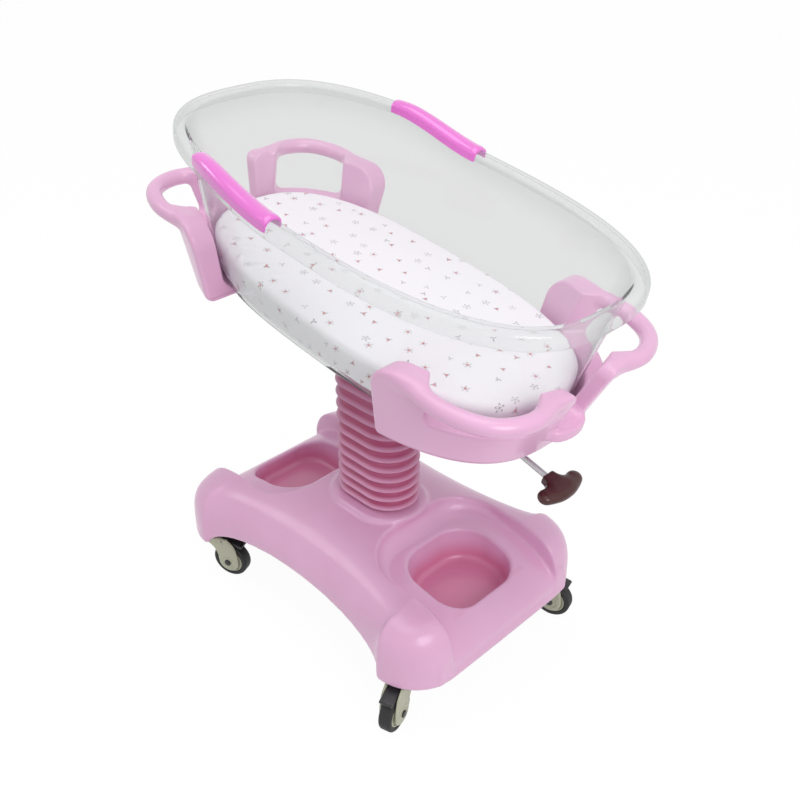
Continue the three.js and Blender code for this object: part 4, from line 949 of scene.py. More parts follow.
class BASSINET_OT_bellows(PieceOperator, bpy.types.Operator):
    """Fold the bellows with a geometry node tree and hang it between base and lift"""
    bl_idname = "bassinet.bellows"
    bl_label = "Bellows"

    def execute(self, context):
        size = context.scene.bassinet_bellows
        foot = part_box("bellows")[0].z
        tree, taken, given = new_group(
            "bellows_folds", "GeometryNodeTree",
            [("Half Length", "NodeSocketFloat", 0.08), ("Half Width", "NodeSocketFloat", 0.06),
             ("Fold", "NodeSocketFloat", 0.009), ("Folds", "NodeSocketFloat", 12.0),
             ("Height", "NodeSocketFloat", 0.28), ("Stretch", "NodeSocketFloat", 0.16),
             ("Material", "NodeSocketMaterial", None)],
            [("Geometry", "NodeSocketGeometry")],
        )
        steps_round, steps_fold = 112, 16
        sheet = add(tree, "GeometryNodeMeshGrid", {
            "Size X": 1.0, "Size Y": 1.0, "Vertices X": steps_round + 1, "Vertices Y": size.folds * steps_fold + 1,
        })
        place = add(tree, "ShaderNodeSeparateXYZ", {"Vector": add(tree, "GeometryNodeInputPosition").outputs[0]})
        angle = maths(tree, "MULTIPLY", maths(tree, "ADD", place.outputs["X"], 0.5), 2 * math.pi)
        rise = maths(tree, "ADD", place.outputs["Y"], 0.5)
        turns = maths(tree, "FRACT", maths(tree, "MULTIPLY", rise, taken.outputs["Folds"]))
        straight = maths(tree, "SUBTRACT", 1.0, maths(tree, "ABSOLUTE", maths(
            tree, "SUBTRACT", maths(tree, "MULTIPLY", turns, 2.0), 1.0)))
        crest = maths(tree, "POWER", straight, 1.25)
        inset = maths(tree, "MULTIPLY", taken.outputs["Fold"], maths(tree, "SUBTRACT", 1.0, crest))
        half_x = maths(tree, "SUBTRACT", taken.outputs["Half Length"], inset)
        half_y = maths(tree, "SUBTRACT", taken.outputs["Half Width"], inset)
        cosine = maths(tree, "COSINE", angle)
        x = maths(tree, "ADD", maths(tree, "MULTIPLY", maths(tree, "SIGN", cosine), maths(
            tree, "SUBTRACT", half_x, half_y)), maths(tree, "MULTIPLY", half_y, cosine))
        y = maths(tree, "MULTIPLY", half_y, maths(tree, "SINE", angle))
        bend = maths(tree, "MULTIPLY", taken.outputs["Stretch"], maths(
            tree, "SUBTRACT", maths(tree, "MULTIPLY", rise, rise), rise))
        z = maths(tree, "MULTIPLY", taken.outputs["Height"], maths(tree, "ADD", rise, bend))
        point = add(tree, "ShaderNodeCombineXYZ", {"X": x, "Y": y, "Z": z})
        named = add(tree, "GeometryNodeStoreNamedAttribute", {
            "Geometry": sheet.outputs["Mesh"], "Name": "fold", "Value": crest,
        }, data_type="FLOAT", domain="POINT")
        moved = add(tree, "GeometryNodeSetPosition", {"Geometry": named.outputs[0], "Position": point.outputs[0]})
        welded = add(tree, "GeometryNodeMergeByDistance", {"Geometry": moved.outputs[0], "Distance": 1e-5})
        smooth = add(tree, "GeometryNodeSetShadeSmooth", {"Geometry": welded.outputs[0]})
        real = add(tree, "GeometryNodeRealizeInstances", {"Geometry": smooth.outputs[0]})
        painted = add(tree, "GeometryNodeSetMaterial", {"Geometry": real.outputs[0], "Material": taken.outputs["Material"]})
        tree.links.new(painted.outputs[0], given.inputs["Geometry"])
        piece = grown_piece("bellows_skin", tree, {
            "Half Length": size.half_x, "Half Width": size.half_y, "Fold": size.fold, "Folds": float(size.folds),
            "Height": size.height, "Stretch": size.stretch, "Material": material_of("bellows"),
        })
        piece.data.transform(Matrix.Translation((PIVOT.x, 0, foot)))
        outward(piece)
        wall = piece.modifiers.new("wall", "SOLIDIFY")
        wall.thickness = size.wall
        wall.offset = -1
        made_plain(piece)
        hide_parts("bellows")
        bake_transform(piece)
        return {"FINISHED"}


def grown_piece(name, tree, values):
    """A plain mesh made by a geometry node tree with its named inputs set."""
    holder = bpy.data.objects.new(name, bpy.data.meshes.new(name))
    bpy.context.scene.collection.objects.link(holder)
    modifier = holder.modifiers.new("shape", "NODES")
    modifier.node_group = tree
    names = {item.name: item.identifier for item in tree.interface.items_tree if item.in_out == "INPUT"}
    for label, value in values.items():
        modifier[names[label]] = value
    made_plain(holder)
    return holder


def made_plain(piece):
    """Turns a piece's evaluated shape into its plain mesh."""
    bpy.context.view_layer.update()
    graph = bpy.context.evaluated_depsgraph_get()
    mesh = bpy.data.meshes.new_from_object(piece.evaluated_get(graph), depsgraph=graph)
    if not mesh.vertices:
        raise RuntimeError(f"{piece.name} came out empty")
    piece.modifiers.clear()
    piece.data = mesh
    mesh.name = piece.name
    return piece


def outward(piece):
    edit = bmesh.new()
    edit.from_mesh(piece.data)
    bmesh.ops.remove_doubles(edit, verts=edit.verts, dist=1e-6)
    bmesh.ops.recalc_face_normals(edit, faces=edit.faces)
    centre = sum((v.co for v in edit.verts), Vector()) / len(edit.verts)
    lean = sum(f.normal.dot(f.calc_center_median() - centre) * f.calc_area() for f in edit.faces)
    if lean < 0:
        bmesh.ops.reverse_faces(edit, faces=edit.faces)
    edit.to_mesh(piece.data)
    edit.free()


class BASSINET_OT_tub(PieceOperator, bpy.types.Operator):
    """Form the clear tub with its rolled rim"""
    bl_idname = "bassinet.tub"
    bl_label = "Tub"

    def execute(self, context):
        tub = context.scene.bassinet_tub
        sides, steps = 480, 10

        def floor_ring(height, grow):
            inset = wall_inset(tub, tub.seat + tub.fillet) - grow + tub.fillet + 0.012
            return tub_ring(tub, lambda h: inset, lambda x: height, sides)

        outside = bottom_rings(tub, tub.seat, tub.fillet, 0, steps, sides)
        inside = bottom_rings(tub, tub.seat + tub.wall, tub.fillet - tub.wall, -tub.wall, steps, sides)[::-1]
        under = roll_rings(tub, tub.wall, tub.roll_drop - tub.wall / 2, steps, sides)[::-1]
        over = roll_rings(tub, 0, tub.roll_drop - tub.wall / 2, steps, sides)
        lip = []
        for i in range(1, 6):
            a = i / 6 * math.pi
            inset = tub.wall / 2 * (1 + math.cos(a))
            rise = -tub.roll_drop + tub.wall / 2 * (1 - math.sin(a))
            lip.append(tub_ring(
                tub, lambda h, inset=inset: inset, lambda x, rise=rise: rim_height(tub, x) + rise, sides))
        rings = [floor_ring(tub.seat, 0)]
        rings += outside + between_rings(outside[-1], under[0], 12)
        roll = len(rings)
        rings += under + lip + over
        bend = len(rings) - 1
        rings += between_rings(over[-1], inside[0], 12) + inside
        rings.append(floor_ring(tub.seat + tub.wall, -tub.wall))
        piece = new_piece("tub_shell", *lofted(rings), BED_PLACE)
        level = np.arange(len(rings))
        on_roll = ((level >= roll) & (level <= bend)).astype(float)
        edge = roll + len(under) + len(lip) // 2
        # Painted shade lines at the inner bend and along the lip's edge, for the material.
        painted_shade_lines = np.maximum(0.8 * (1 - np.abs(level - bend) / 2.5), 0.5 * (1 - np.abs(level - edge) / 4)).clip(0, 1)
        mark(piece, "rim", np.repeat(on_roll, sides))
        mark(piece, "line", np.repeat(painted_shade_lines, sides))
        dress(piece, "tub", "clear_acrylic", material_of("acrylic"), "tub")
        return {"FINISHED"}


class BASSINET_OT_grips(PieceOperator, bpy.types.Operator):
    """Clip the two grip covers over the sloping stretches of the rim"""
    bl_idname = "bassinet.grips"
    bl_label = "Grip covers"

    def section(self, tub, grips, x, ease):
        rim = float(rim_height(tub, x))
        inner_wall = float(wall_inset(tub, rim - grips.skirt)) + tub.wall
        inner = -inner_wall - grips.gap - grips.side * ease
        outer = grips.gap + grips.side * ease
        crest = grips.gap + grips.top * ease
        points = []
        steps = 28
        for i in range(steps + 1):
            a = math.pi * i / steps
            across = (outer - inner) / 2 * float(signed_power(math.cos(a), 2 / grips.power))
            rise = (crest + grips.top) * abs(math.sin(a)) ** (2 / grips.power)
            points.append(((inner + outer) / 2 + across, rise - grips.top))
        points = [(outer, -grips.skirt), *points, (inner, -grips.skirt)]
        room = [(-inner_wall - grips.gap, -grips.skirt)]
        steps = 10
        reach = float(wall_inset(tub, rim - tub.roll_rise)) + tub.wall + grips.gap - tub.roll_crest
        for i in range(steps + 1):
            a = i / steps * math.pi / 2
            rise = (tub.roll_rise + grips.gap) * math.sin(a)
            room.append((-tub.roll_crest - reach * math.cos(a), rise - tub.roll_rise))
        for i in range(1, steps + 1):
            a = (1 - i / steps) * math.pi / 2
            across = -tub.roll_crest + (tub.roll_crest + grips.gap) * math.cos(a)
            room.append((across, -tub.roll_round + (tub.roll_round + grips.gap) * math.sin(a)))
        return points + room + [(grips.gap, -grips.skirt)]

    def execute(self, context):
        tub = context.scene.bassinet_tub
        grips = context.scene.bassinet_grips

        def side_of(x):
            part = abs((x - tub.shift) / (tub.length / 2))
            return tub.width / 2 * (1 - part ** tub.power) ** (1 / tub.power)

        for name, side in (("near", -1), ("far", 1)):
            rings = []
            stations = 64
            for i in range(stations + 1):
                part = (1 - math.cos(math.pi * i / stations)) / 2
                x = grips.start + (grips.end - grips.start) * part
                ease = 0.25 + 0.75 * min(1, 5 * part, 30 * (1 - part)) ** 0.5
                tangent = Vector((2e-4, side_of(x + 1e-4) - side_of(x - 1e-4)))
                tangent.normalize()
                out_x, out_y = -tangent.y, tangent.x
                rim = float(rim_height(tub, x))
                rings.append(np.array([
                    (x + n * out_x, side * (side_of(x) + n * out_y), rim + z)
                    for n, z in self.section(tub, grips, x, ease)
                ]))
            piece = new_piece(f"grip_cover_{name}", *lofted(rings), BED_PLACE)
            outward(piece)
            keep_sharp(piece, 50)
            dress(piece, "tub", "magenta_plastic", material_of("grips"), f"grip_{name}")
        return {"FINISHED"}


def smooth_path(points, steps):
    """Centripetal spline through a few points."""
    points = [np.array(p, float) for p in points]
    padded = [2 * points[0] - points[1], *points, 2 * points[-1] - points[-2]]
    path = []
    for p0, p1, p2, p3 in zip(padded, padded[1:], padded[2:], padded[3:]):
        t0 = 0.0
        t1 = t0 + np.linalg.norm(p1 - p0) ** 0.5
        t2 = t1 + np.linalg.norm(p2 - p1) ** 0.5
        t3 = t2 + np.linalg.norm(p3 - p2) ** 0.5
        for t in np.linspace(t1, t2, steps, endpoint=False):
            a1 = (t1 - t) / (t1 - t0) * p0 + (t - t0) / (t1 - t0) * p1
            a2 = (t2 - t) / (t2 - t1) * p1 + (t - t1) / (t2 - t1) * p2
            a3 = (t3 - t) / (t3 - t2) * p2 + (t - t2) / (t3 - t2) * p3
            b1 = (t2 - t) / (t2 - t0) * a1 + (t - t0) / (t2 - t0) * a2
            b2 = (t3 - t) / (t3 - t1) * a2 + (t - t1) / (t3 - t1) * a3
            path.append((t2 - t) / (t2 - t1) * b1 + (t - t1) / (t2 - t1) * b2)
    return [*path, points[-1]]


class BASSINET_OT_cradles(PieceOperator, bpy.types.Operator):
    """Mould the two end cradles with ears, uprights, windows, bows, notch and lip"""
    bl_idname = "bassinet.cradles"
    bl_label = "End cradles"

    def moulding(self, tub, size, start):
        flare = 1 + size.flare / (tub.width / 2)
        bottom = tub.seat - 0.0003 - size.floor
        ear_top = tub.seat + size.ear_height
        handle = ear_top - size.bow_radius
        margin = 4 * size.step
        low = (start - margin, -0.285, bottom - margin)
        high = (tub.shift + tub.length / 2 + 0.065, 0.285, ear_top + margin)
        x, y, z = field_grid(low, high, size.step)

        def stretch(height):
            return 1 + size.lean * np.clip((height - tub.seat) / size.ear_height, 0, 1) / (tub.length / 2)

        def outline(grow, flare):
            upright_x = tub.shift + (x - tub.shift) / stretch(z)
            return as_distance(oval_distance(tub, upright_x, y, wall_inset(tub, z) - grow, flare), size.step)

        def centre_point(angle, reach):
            inset = wall_inset(tub, handle) - size.clearance - size.wall / 2 - reach
            px, py = oval_point(tub, angle, inset)
            return np.array([tub.shift + (px - tub.shift) * stretch(handle), py * flare, handle])

        def angle_where(test):
            few, many = 0.0, math.pi / 2
            for _ in range(40):
                middle = (few + many) / 2
                few, many = (few, middle) if test(centre_point(middle, 0)) else (middle, many)
            return many

        ear_end = angle_where(lambda p: p[0] < start + size.ear_length)
        ear_middle = angle_where(lambda p: p[0] < start + size.ear_length * 0.55)
        upright_end = angle_where(lambda p: p[1] > size.notch / 2 + size.upright)
        upright_middle = angle_where(lambda p: p[1] > (size.notch + size.upright) / 2)

        blank = common_round(outline(size.clearance + size.wall, flare), bottom - z, size.floor)
        keep = common_round(start - x, z - ear_top, size.ear_round)
        body = common_round(blank, keep, size.ear_edge)
        sill = tub.seat + size.notch_sill
        end_wall = (tub.length / 2 - wall_inset(tub, sill) + size.clearance + size.wall) * stretch(sill)
        lip_plan = np.hypot((x - tub.shift - end_wall + 0.004) / size.lip_reach, y / (size.notch * size.lip_share))
        lip_plan = (lip_plan - 1) * size.lip_reach
        lip_level = np.abs(z - sill + size.lip_height / 2) - size.lip_height / 2
        body = joined_round(body, common_round(lip_plan, lip_level, 0.005), 0.006)
        notch_half = size.notch / 2 - size.notch_taper * np.clip((ear_top - z) / (ear_top - sill), 0, 1)
        notch_plan = box_plan(y, z - sill - 0.2, notch_half, 0.2, 0.014)
        notch_plan = joined_round(notch_plan, ear_top - z, size.shoulder)
        body = less_round(body, np.maximum(notch_plan, 0.30 - x), size.edge)
        window_sill = tub.seat + size.sill
        ear_corner = centre_point(ear_end, 0)
        upright_corner = centre_point(upright_end, 0)
        chord = ear_corner - upright_corner
        span = math.hypot(chord[0], chord[1])
        cos, sin = chord[0] / span, chord[1] / span
        side_y = np.abs(y)
        along = (x - upright_corner[0]) * cos + (side_y - upright_corner[1]) * sin
        across = -(x - upright_corner[0]) * sin + (side_y - upright_corner[1]) * cos
        window = box_plan(along - span / 2, z - window_sill - 0.2, span / 2, 0.2, size.window_round)
        window = np.maximum(window, np.abs(across) - 1.5 * size.wall - size.bow_reach)
        body = less_round(body, window, size.edge)
        out = size.wall / 2 + size.bow_reach
        bow = smooth_path([
            centre_point(ear_middle, 0),
            centre_point(ear_middle * 0.75 + upright_middle * 0.25, size.wall / 2 + size.bow_reach * 0.62),
            centre_point((ear_middle + upright_middle) / 2, out),
            centre_point(ear_middle * 0.25 + upright_middle * 0.75, size.wall / 2 + size.bow_reach * 0.62),
            centre_point(upright_middle, 0),
        ], 8)
        upper = z[0, 0] > handle - size.bow_radius - 0.02
        bar = np.full(x.shape, 0.05)
        bar[:, :, upper] = path_distance(x[:, :, upper], side_y[:, :, upper], z[:, :, upper], bow) - size.bow_radius
        body = joined_round(body, bar, 0.007)
        room = common_round(outline(size.clearance, size.snug), tub.seat - 0.0003 - z, tub.fillet)
        body = less_round(body, room, 0.003)
        ledge = as_distance(oval_distance(tub, x, y, wall_inset(tub, tub.seat) + size.ledge), size.step)
        body = less_round(body, ledge, 0.003)
        points, faces = skin_of(body, low, size.step)
        return relaxed(points, faces, 3), faces

    def execute(self, context):
        tub = context.scene.bassinet_tub
        size = context.scene.bassinet_cradles
        turn = Matrix.Translation((2 * tub.shift - size.head_gap, 0, 0)) @ Matrix.Rotation(math.pi, 4, "Z")
        for name, start, place in (
            ("foot", size.foot_start, BED_PLACE),
            ("head", size.head_start, BED_PLACE @ turn),
        ):
            piece = new_piece(f"cradle_shell_{name}", *self.moulding(tub, size, start), place)
            dress(piece, "tilt", "pink_plastic", material_of("cradles"), f"cradle_{name}")
        return {"FINISHED"}


class BASSINET_OT_bedding(PieceOperator, bpy.types.Operator):
    """Lay the mattress in the tub and draw the printed sheet over it"""
    bl_idname = "bassinet.bedding"
    bl_label = "Mattress and sheet"

    def rings(self, tub, bed, grow, angle):
        foot = tub.seat + tub.wall + 0.0015 + 0.0006
        top = foot + bed.height + grow
        gap = tub.wall + bed.clearance - grow
        rings, slack = [], []

        def ring(inset, height):
            return tub_ring(tub, lambda h: inset, lambda x: height, len(angle), angle)

        low = foot - grow
        for i in range(9):
            a = i / 8 * math.pi / 2
            lower = bed.round + grow
            inset = wall_inset(tub, low + lower) + gap + lower * (1 - math.sin(a))
            rings.append(ring(inset, low + lower * (1 - math.cos(a))))
            slack.append(i / 8)
        radius = bed.round / 2 + grow
        shoulder = top - radius
        for i in range(1, 8):
            height = low + bed.round + grow + (shoulder - low - bed.round - grow) * i / 8
            bulge = 0.0015 * math.sin(math.pi * i / 8)
            rings.append(ring(wall_inset(tub, height) + gap - bulge, height))
            slack.append(1.0)
        for i in range(9):
            a = i / 8 * math.pi / 2
            inset = wall_inset(tub, shoulder) + gap + radius * (1 - math.cos(a))
            rings.append(ring(inset, shoulder + radius * math.sin(a)))
            slack.append(1 - i / 8)
        edge = rings[-1]
        middle = np.array([tub.shift, 0, 0])
        for i in range(1, 30):
            part = 1 - (i / 30) ** 1.5
            flat = middle + (edge - middle) * np.array([part, part, 1])
            flat[:, 2] += bed.crown * (1 - part ** 2)
            rings.append(flat)
            slack.append(0.0)
        return rings, slack

    def drape(self, sheet, pad, held, loose, room):
        """Settles the sheet on the pad as cloth, its hem held and its near head corner slack."""
        scene = bpy.context.scene
        bed = scene.bassinet_bedding
        rest = np.array([v.co for v in sheet.data.vertices])
        touch = pad.modifiers.new("touch", "COLLISION")
        pad.collision.thickness_outer = 0.001
        for label, weights in (("held", held), ("loose", loose)):
            group = sheet.vertex_groups.new(name=label)
            for index, weight in enumerate(weights):
                if weight > 0.001:
                    group.add([index], float(weight), "REPLACE")
        cloth = sheet.modifiers.new("drape", "CLOTH")
        cloth.settings.quality = 4
        cloth.settings.mass = 0.15
        cloth.settings.bending_stiffness = 0.02
        cloth.settings.vertex_group_mass = "held"
        cloth.settings.vertex_group_shrink = "loose"
        cloth.settings.shrink_min = 0.0
        cloth.settings.shrink_max = -bed.slack
        cloth.collision_settings.distance_min = 0.001
        cloth.point_cache.frame_end = bed.frames
        for step in range(1, bed.frames + 1):
            scene.frame_set(step)
        made_plain(sheet)
        pad.modifiers.remove(touch)
        sheet.vertex_groups.clear()
        scene.frame_set(1)
        moved = np.array([v.co for v in sheet.data.vertices]) - rest
        reach = np.linalg.norm(moved, axis=1)
        moved *= np.minimum(1, room / np.maximum(reach, 1e-9))[:, None]
        sunk = np.minimum(moved @ np.array(BED_UP), 0)
        moved -= sunk[:, None] * np.array(BED_UP)
        sheet.data.vertices.foreach_set("co", (rest + moved).astype(np.float32).ravel())
        sheet.data.update()

    def execute(self, context):
        tub = context.scene.bassinet_tub
        bed = context.scene.bassinet_bedding
        sides = 192
        slack_at = math.radians(241)
        angle = even_angles(sides)
        angle = angle - 0.72 * np.sin(angle - slack_at)
        rings, _ = self.rings(tub, bed, 0, angle)
        pad = new_piece("mattress_pad", *lofted(rings), BED_PLACE)
        dress(pad, "bedding", "mattress_foam", material_of("ticking"), "mattress")
        rings, slack = self.rings(tub, bed, 0.0016, angle)
        under = [rings[0] + (np.array([tub.shift, 0, rings[0][0, 2]]) - rings[0]) * s for s in (0.30, 0.22, 0.14, 0.07)]
        rings = under + rings
        slack = [0.0] * len(under) + slack
        folds = np.zeros(sides)
        for k, (count, phase, weight) in enumerate(((9, 0.4, 0.5), (17, 1.9, 0.4), (31, 0.7, 0.35), (43, 2.2, 0.2))):
            folds += weight * np.sin(count * angle + phase)
        corner = np.exp(-((np.mod(angle - slack_at + math.pi, 2 * math.pi) - math.pi) / 0.42) ** 2)
        amount = 0.35 + 1.1 * corner
        made = []
        crease = len(rings) - 27
        for level, (ring, loose) in enumerate(zip(rings, slack)):
            out = ring - np.array([tub.shift, 0, 0])
            out[:, 2] = 0
            out /= np.maximum(np.linalg.norm(out, axis=1), 1e-6)[:, None]
            drift = np.sin(angle * 13 + level * 0.35) * 0.3 + folds
            push = np.clip(bed.wrinkle * loose * amount * drift, -0.0006, 0.0028)
            ridge = np.clip(np.sin(46 * angle + 0.5 * level), 0, 1) ** 2 * np.clip(1 - abs(level - crease) / 9, 0, 1)
            ridge = ridge * np.clip(0.35 + np.sin(15 * angle - 0.23 * level + 1.1), 0, 1)
            made.append(ring + out * push[:, None] + np.outer(bed.crease * corner * ridge, (0, 0, 1)))
        points, faces = lofted(made)
        faces = faces[:-2] + [faces[-1]]
        piece = new_piece("fitted_sheet", points, faces, BED_PLACE)
        level = np.arange(len(made))
        top = len(made) - 29
        held = np.repeat(level < len(under) + 6, sides)
        near_edge = np.clip(1 - (level - top) / 20, 0, 1) * (level > len(under) + 4)
        loose = (near_edge[:, None] * corner[None, :]).ravel()
        room = np.repeat(np.where(level < top - 5, bed.clearance * 0.6, bed.room), sides) * np.clip(4 * loose, 0, 1)
        flat = []
        for level, ring in enumerate(made):
            flat.append(ring[:, :2].copy())
        edge_level = max(i for i, s in enumerate(slack) if s > 0) + 1
        drop = np.zeros(sides)
        for level in range(edge_level - 1, -1, -1):
            drop = drop + np.linalg.norm(made[level] - made[level + 1], axis=1)
            out = made[edge_level][:, :2] - np.array([tub.shift, 0])
            out /= np.linalg.norm(out, axis=1)[:, None]
            flat[level] = made[edge_level][:, :2] + out * drop[:, None]
        flat = np.concatenate(flat)
        layer = piece.data.uv_layers.new(name="cloth")
        index = np.zeros(len(piece.data.loops), int)
        piece.data.loops.foreach_get("vertex_index", index)
        layer.data.foreach_set("uv", flat[index].astype(np.float32).ravel())
        outward(piece)
        self.drape(piece, pad, held, loose, room)
        wall = piece.modifiers.new("cloth", "SOLIDIFY")
        wall.thickness = bed.cloth
        wall.offset = -1
        made_plain(piece)
        dress(piece, "bedding", "cotton_sheet", material_of("cotton"), "sheet")
        return {"FINISHED"}


class BASSINET_OT_lever(PieceOperator, bpy.types.Operator):
    """Mould the T-shaped grip on the release lever's rod"""
    bl_idname = "bassinet.lever"
    bl_label = "Release lever"

    def execute(self, context):
        size = context.scene.bassinet_lever
        place = Matrix.Translation(LEVER_HINGE) @ Matrix.Rotation(REST_TILT + size.dip, 4, "Y")
        margin = 3 * size.step
        half_bar, half = size.width / 2, size.thickness / 2
        low = (-margin, -half_bar - margin, -half - margin)
        x, y, z = field_grid(low, (size.reach + margin, half_bar + margin, half + margin), size.step)
        lobe = size.bar / 2
        tips = np.linspace(-1, 1, 25)
        bar_path = [
            np.array([size.reach - lobe - size.sweep * t * t, (half_bar - lobe) * t, 0]) for t in tips
        ]
        flatness = lobe / half
        bar = path_distance(x, y, z * flatness, bar_path) - lobe
        neck = box_plan(x - size.reach / 3, y, size.reach / 3, size.neck / 2, 0.004)
        neck = common_round(neck, np.abs(z) - half + 0.001, 0.005)
        body = joined_round(bar, neck, 0.020)
        body = common_round(body, np.abs(z) - half, 0.004)
        points, faces = skin_of(body, low, size.step)
        points = relaxed(points, faces, 3)
        start = size.length - size.reach / 2
        grip = new_piece("lever_handle", points, faces, place @ Matrix.Translation((start, 0, 0)))
        dress(grip, "lever", "dark_red_plastic", material_of("lever"), "lever_grip")
        rod = copied_node("lever_rod", 0.0006)
        dress(rod, "lever", "steel", material_of("steel"), "lever_rod")
        return {"FINISHED"}


class BASSINET_OT_casters(PieceOperator, bpy.types.Operator):
    """Build the four casters: fork, tyre, hub, axle, stem and pedal"""
    bl_idname = "bassinet.casters"
    bl_label = "Casters"

    def fork(self, size):
        foot = size.top - size.head_height
        hub = size.wheel
        near = size.trail - size.boss
        t = np.linspace(0, 1, 12, endpoint=False)[:, None]

        def bend(a, c, b):
            a, b, c = np.array(a), np.array(b), np.array(c)
            return (1 - t) ** 2 * a + 2 * t * (1 - t) * c + t * t * b

        turn = np.linspace(math.pi, 2 * math.pi, 25)[:, None]
        boss = np.array([size.trail, hub]) + size.boss * np.concatenate([np.cos(turn), np.sin(turn)], 1)
        outline = np.concatenate([
            [[-size.head, size.top]],
            bend((-size.head, foot), (near, foot - 0.008), (near, hub)),
            boss,
            bend((size.trail + size.boss, hub), (size.trail + size.boss, foot), (size.guard, size.top - 0.006)),
            [[size.guard - 0.006, size.top]],
        ])
        half_width = (size.width + size.room) / 2 + size.arm
        margin = 3 * size.step
        low = (-size.head - margin, -half_width - margin, hub - size.boss - margin)
        high = (size.trail + size.boss + margin, half_width + margin, size.top + margin)
        x, y, z = field_grid(low, high, size.step)
        plan = polygon_plan(x[:, 0, :], z[:, 0, :], outline)[:, None, :] + 0 * y
        body = common_round(plan, np.abs(y) - half_width, 0.004)
        head = common_round(np.hypot(x, y) - size.head, np.abs(z - (size.top + foot) / 2) - size.head_height / 2, 0.002)
        body = joined_round(body, head, 0.003)
        room = np.hypot(x - size.trail, z - hub) - size.wheel - size.room
        body = less_round(body, np.maximum(room, np.abs(y) - (size.width + size.room) / 2), 0.0015)
        pocket = np.maximum(np.abs(y) - (size.width + size.room) / 2, 0.011 - x)
        body = less_round(body, np.maximum(pocket, hub - z), 0.0015)
        disc = np.hypot(x - size.trail, z - hub)
        groove = np.hypot(disc - size.ring, np.abs(y) - half_width) - 0.0011
        edge = np.hypot(disc - size.boss + 0.0025, np.abs(y) - half_width) - 0.0009
        body = np.maximum(body, -np.minimum(groove, edge))
        points, faces = skin_of(body, low, size.step)
        return relaxed(points, faces, 1), faces

    def wheel_rings(self, profile, size):
        rings = turned(profile, 72)
        return [np.stack([size.trail + r[:, 0], -r[:, 2], size.wheel + r[:, 1]], 1) for r in rings]

    def tyre(self, size):
        half, inner = size.width / 2, size.wheel - size.tyre
        profile = [(inner, -half + 0.001), (inner + 0.002, -half + 0.0004), (size.wheel - 0.0055, -half)]
        for i in range(7):
            a = i / 6 * math.pi / 2
            profile.append((size.wheel - 0.005 + 0.005 * math.sin(a), -half + 0.005 - 0.005 * math.cos(a)))
        for i in range(1, 6):
            profile.append((size.wheel + 0.0, -half + 0.005 + (2 * half - 0.010) * i / 6))
        profile += [(r, -z) for r, z in profile[9::-1]]
        return lofted(self.wheel_rings(profile, size), closed=True)

    def hub(self, size):
        half = size.width / 2
        rim = size.wheel - size.tyre - 0.0003
        side = [(0.0049, -half), (0.009, -half), (0.0095, -half + 0.0012), (0.0135, -half + 0.0022),
                (0.0140, -half + 0.0012), (0.0165, -half + 0.0012), (0.0170, -half + 0.0032), (rim - 0.003, -half + 0.0034),
                (rim - 0.0025, -half + 0.0012), (rim, -half + 0.0014)]
        profile = side + [(r, -z) for r, z in side[::-1]]
        return lofted(self.wheel_rings(profile, size), closed=True)

    def execute(self, context):
        size = context.scene.bassinet_casters
        shapes = {"fork": self.fork(size), "tyre": self.tyre(size), "hub": self.hub(size)}
        looks = {"fork": ("swivel", "caster_grey", "fork"), "tyre": ("wheel", "tyre_rubber", "rubber"),
                 "hub": ("wheel", "caster_grey", "fork")}
        for corner in CORNERS:
            swivel = Vector(JOINTS[f"swivel_{corner}"]["pos_m"])
            axle = Vector(JOINTS[f"wheel_{corner}"]["pos_m"])
            turn = math.atan2(axle.y - swivel.y, axle.x - swivel.x)
            place = Matrix.Translation((swivel.x, swivel.y, 0)) @ Matrix.Rotation(turn, 4, "Z")
            for kind, (points, faces) in shapes.items():
                body, slot, look = looks[kind]
                piece = new_piece(f"{kind}_shape_{corner}", points, faces, place)
                outward(piece)
                keep_sharp(piece, 60)
                dress(piece, f"{body}_{corner}", slot, material_of(look), f"{kind}_{corner}")
            for kind, body, bevel in (("stem", "base", 0.001), ("axle", f"swivel_{corner}", 0.0007),
                                      ("pedal", f"pedal_{corner}", 0.0012)):
                piece = copied_node(f"{kind}_{corner}", bevel)
                dress(piece, body, "black_plastic", material_of("black"), f"{kind}_{corner}")
        return {"FINISHED"}


class BASSINET_OT_metalwork(PieceOperator, bpy.types.Operator):
    """Finish the steel pieces under the bed and inside the column"""
    bl_idname = "bassinet.metalwork"
    bl_label = "Metalwork"

    def execute(self, context):
        coated = {"chassis": "base", "lift_head": "lift", "tilt_frame": "tilt", "lever_bracket": "tilt"}
        for node, body in coated.items():
            dress(copied_node(node, 0.0012), body, "dark_steel", material_of("frame"), node)
        for node in ("guide_tube", "slider_tube", "gas_rod", "tilt_pin", "lever_pin"):
            NODES[node].data.materials.clear()
            NODES[node].data.materials.append(material_of("steel"))
        for node in ("gas_cylinder", "bellows_ring"):
            NODES[node].data.materials.clear()
            NODES[node].data.materials.append(material_of("black"))
        return {"FINISHED"}


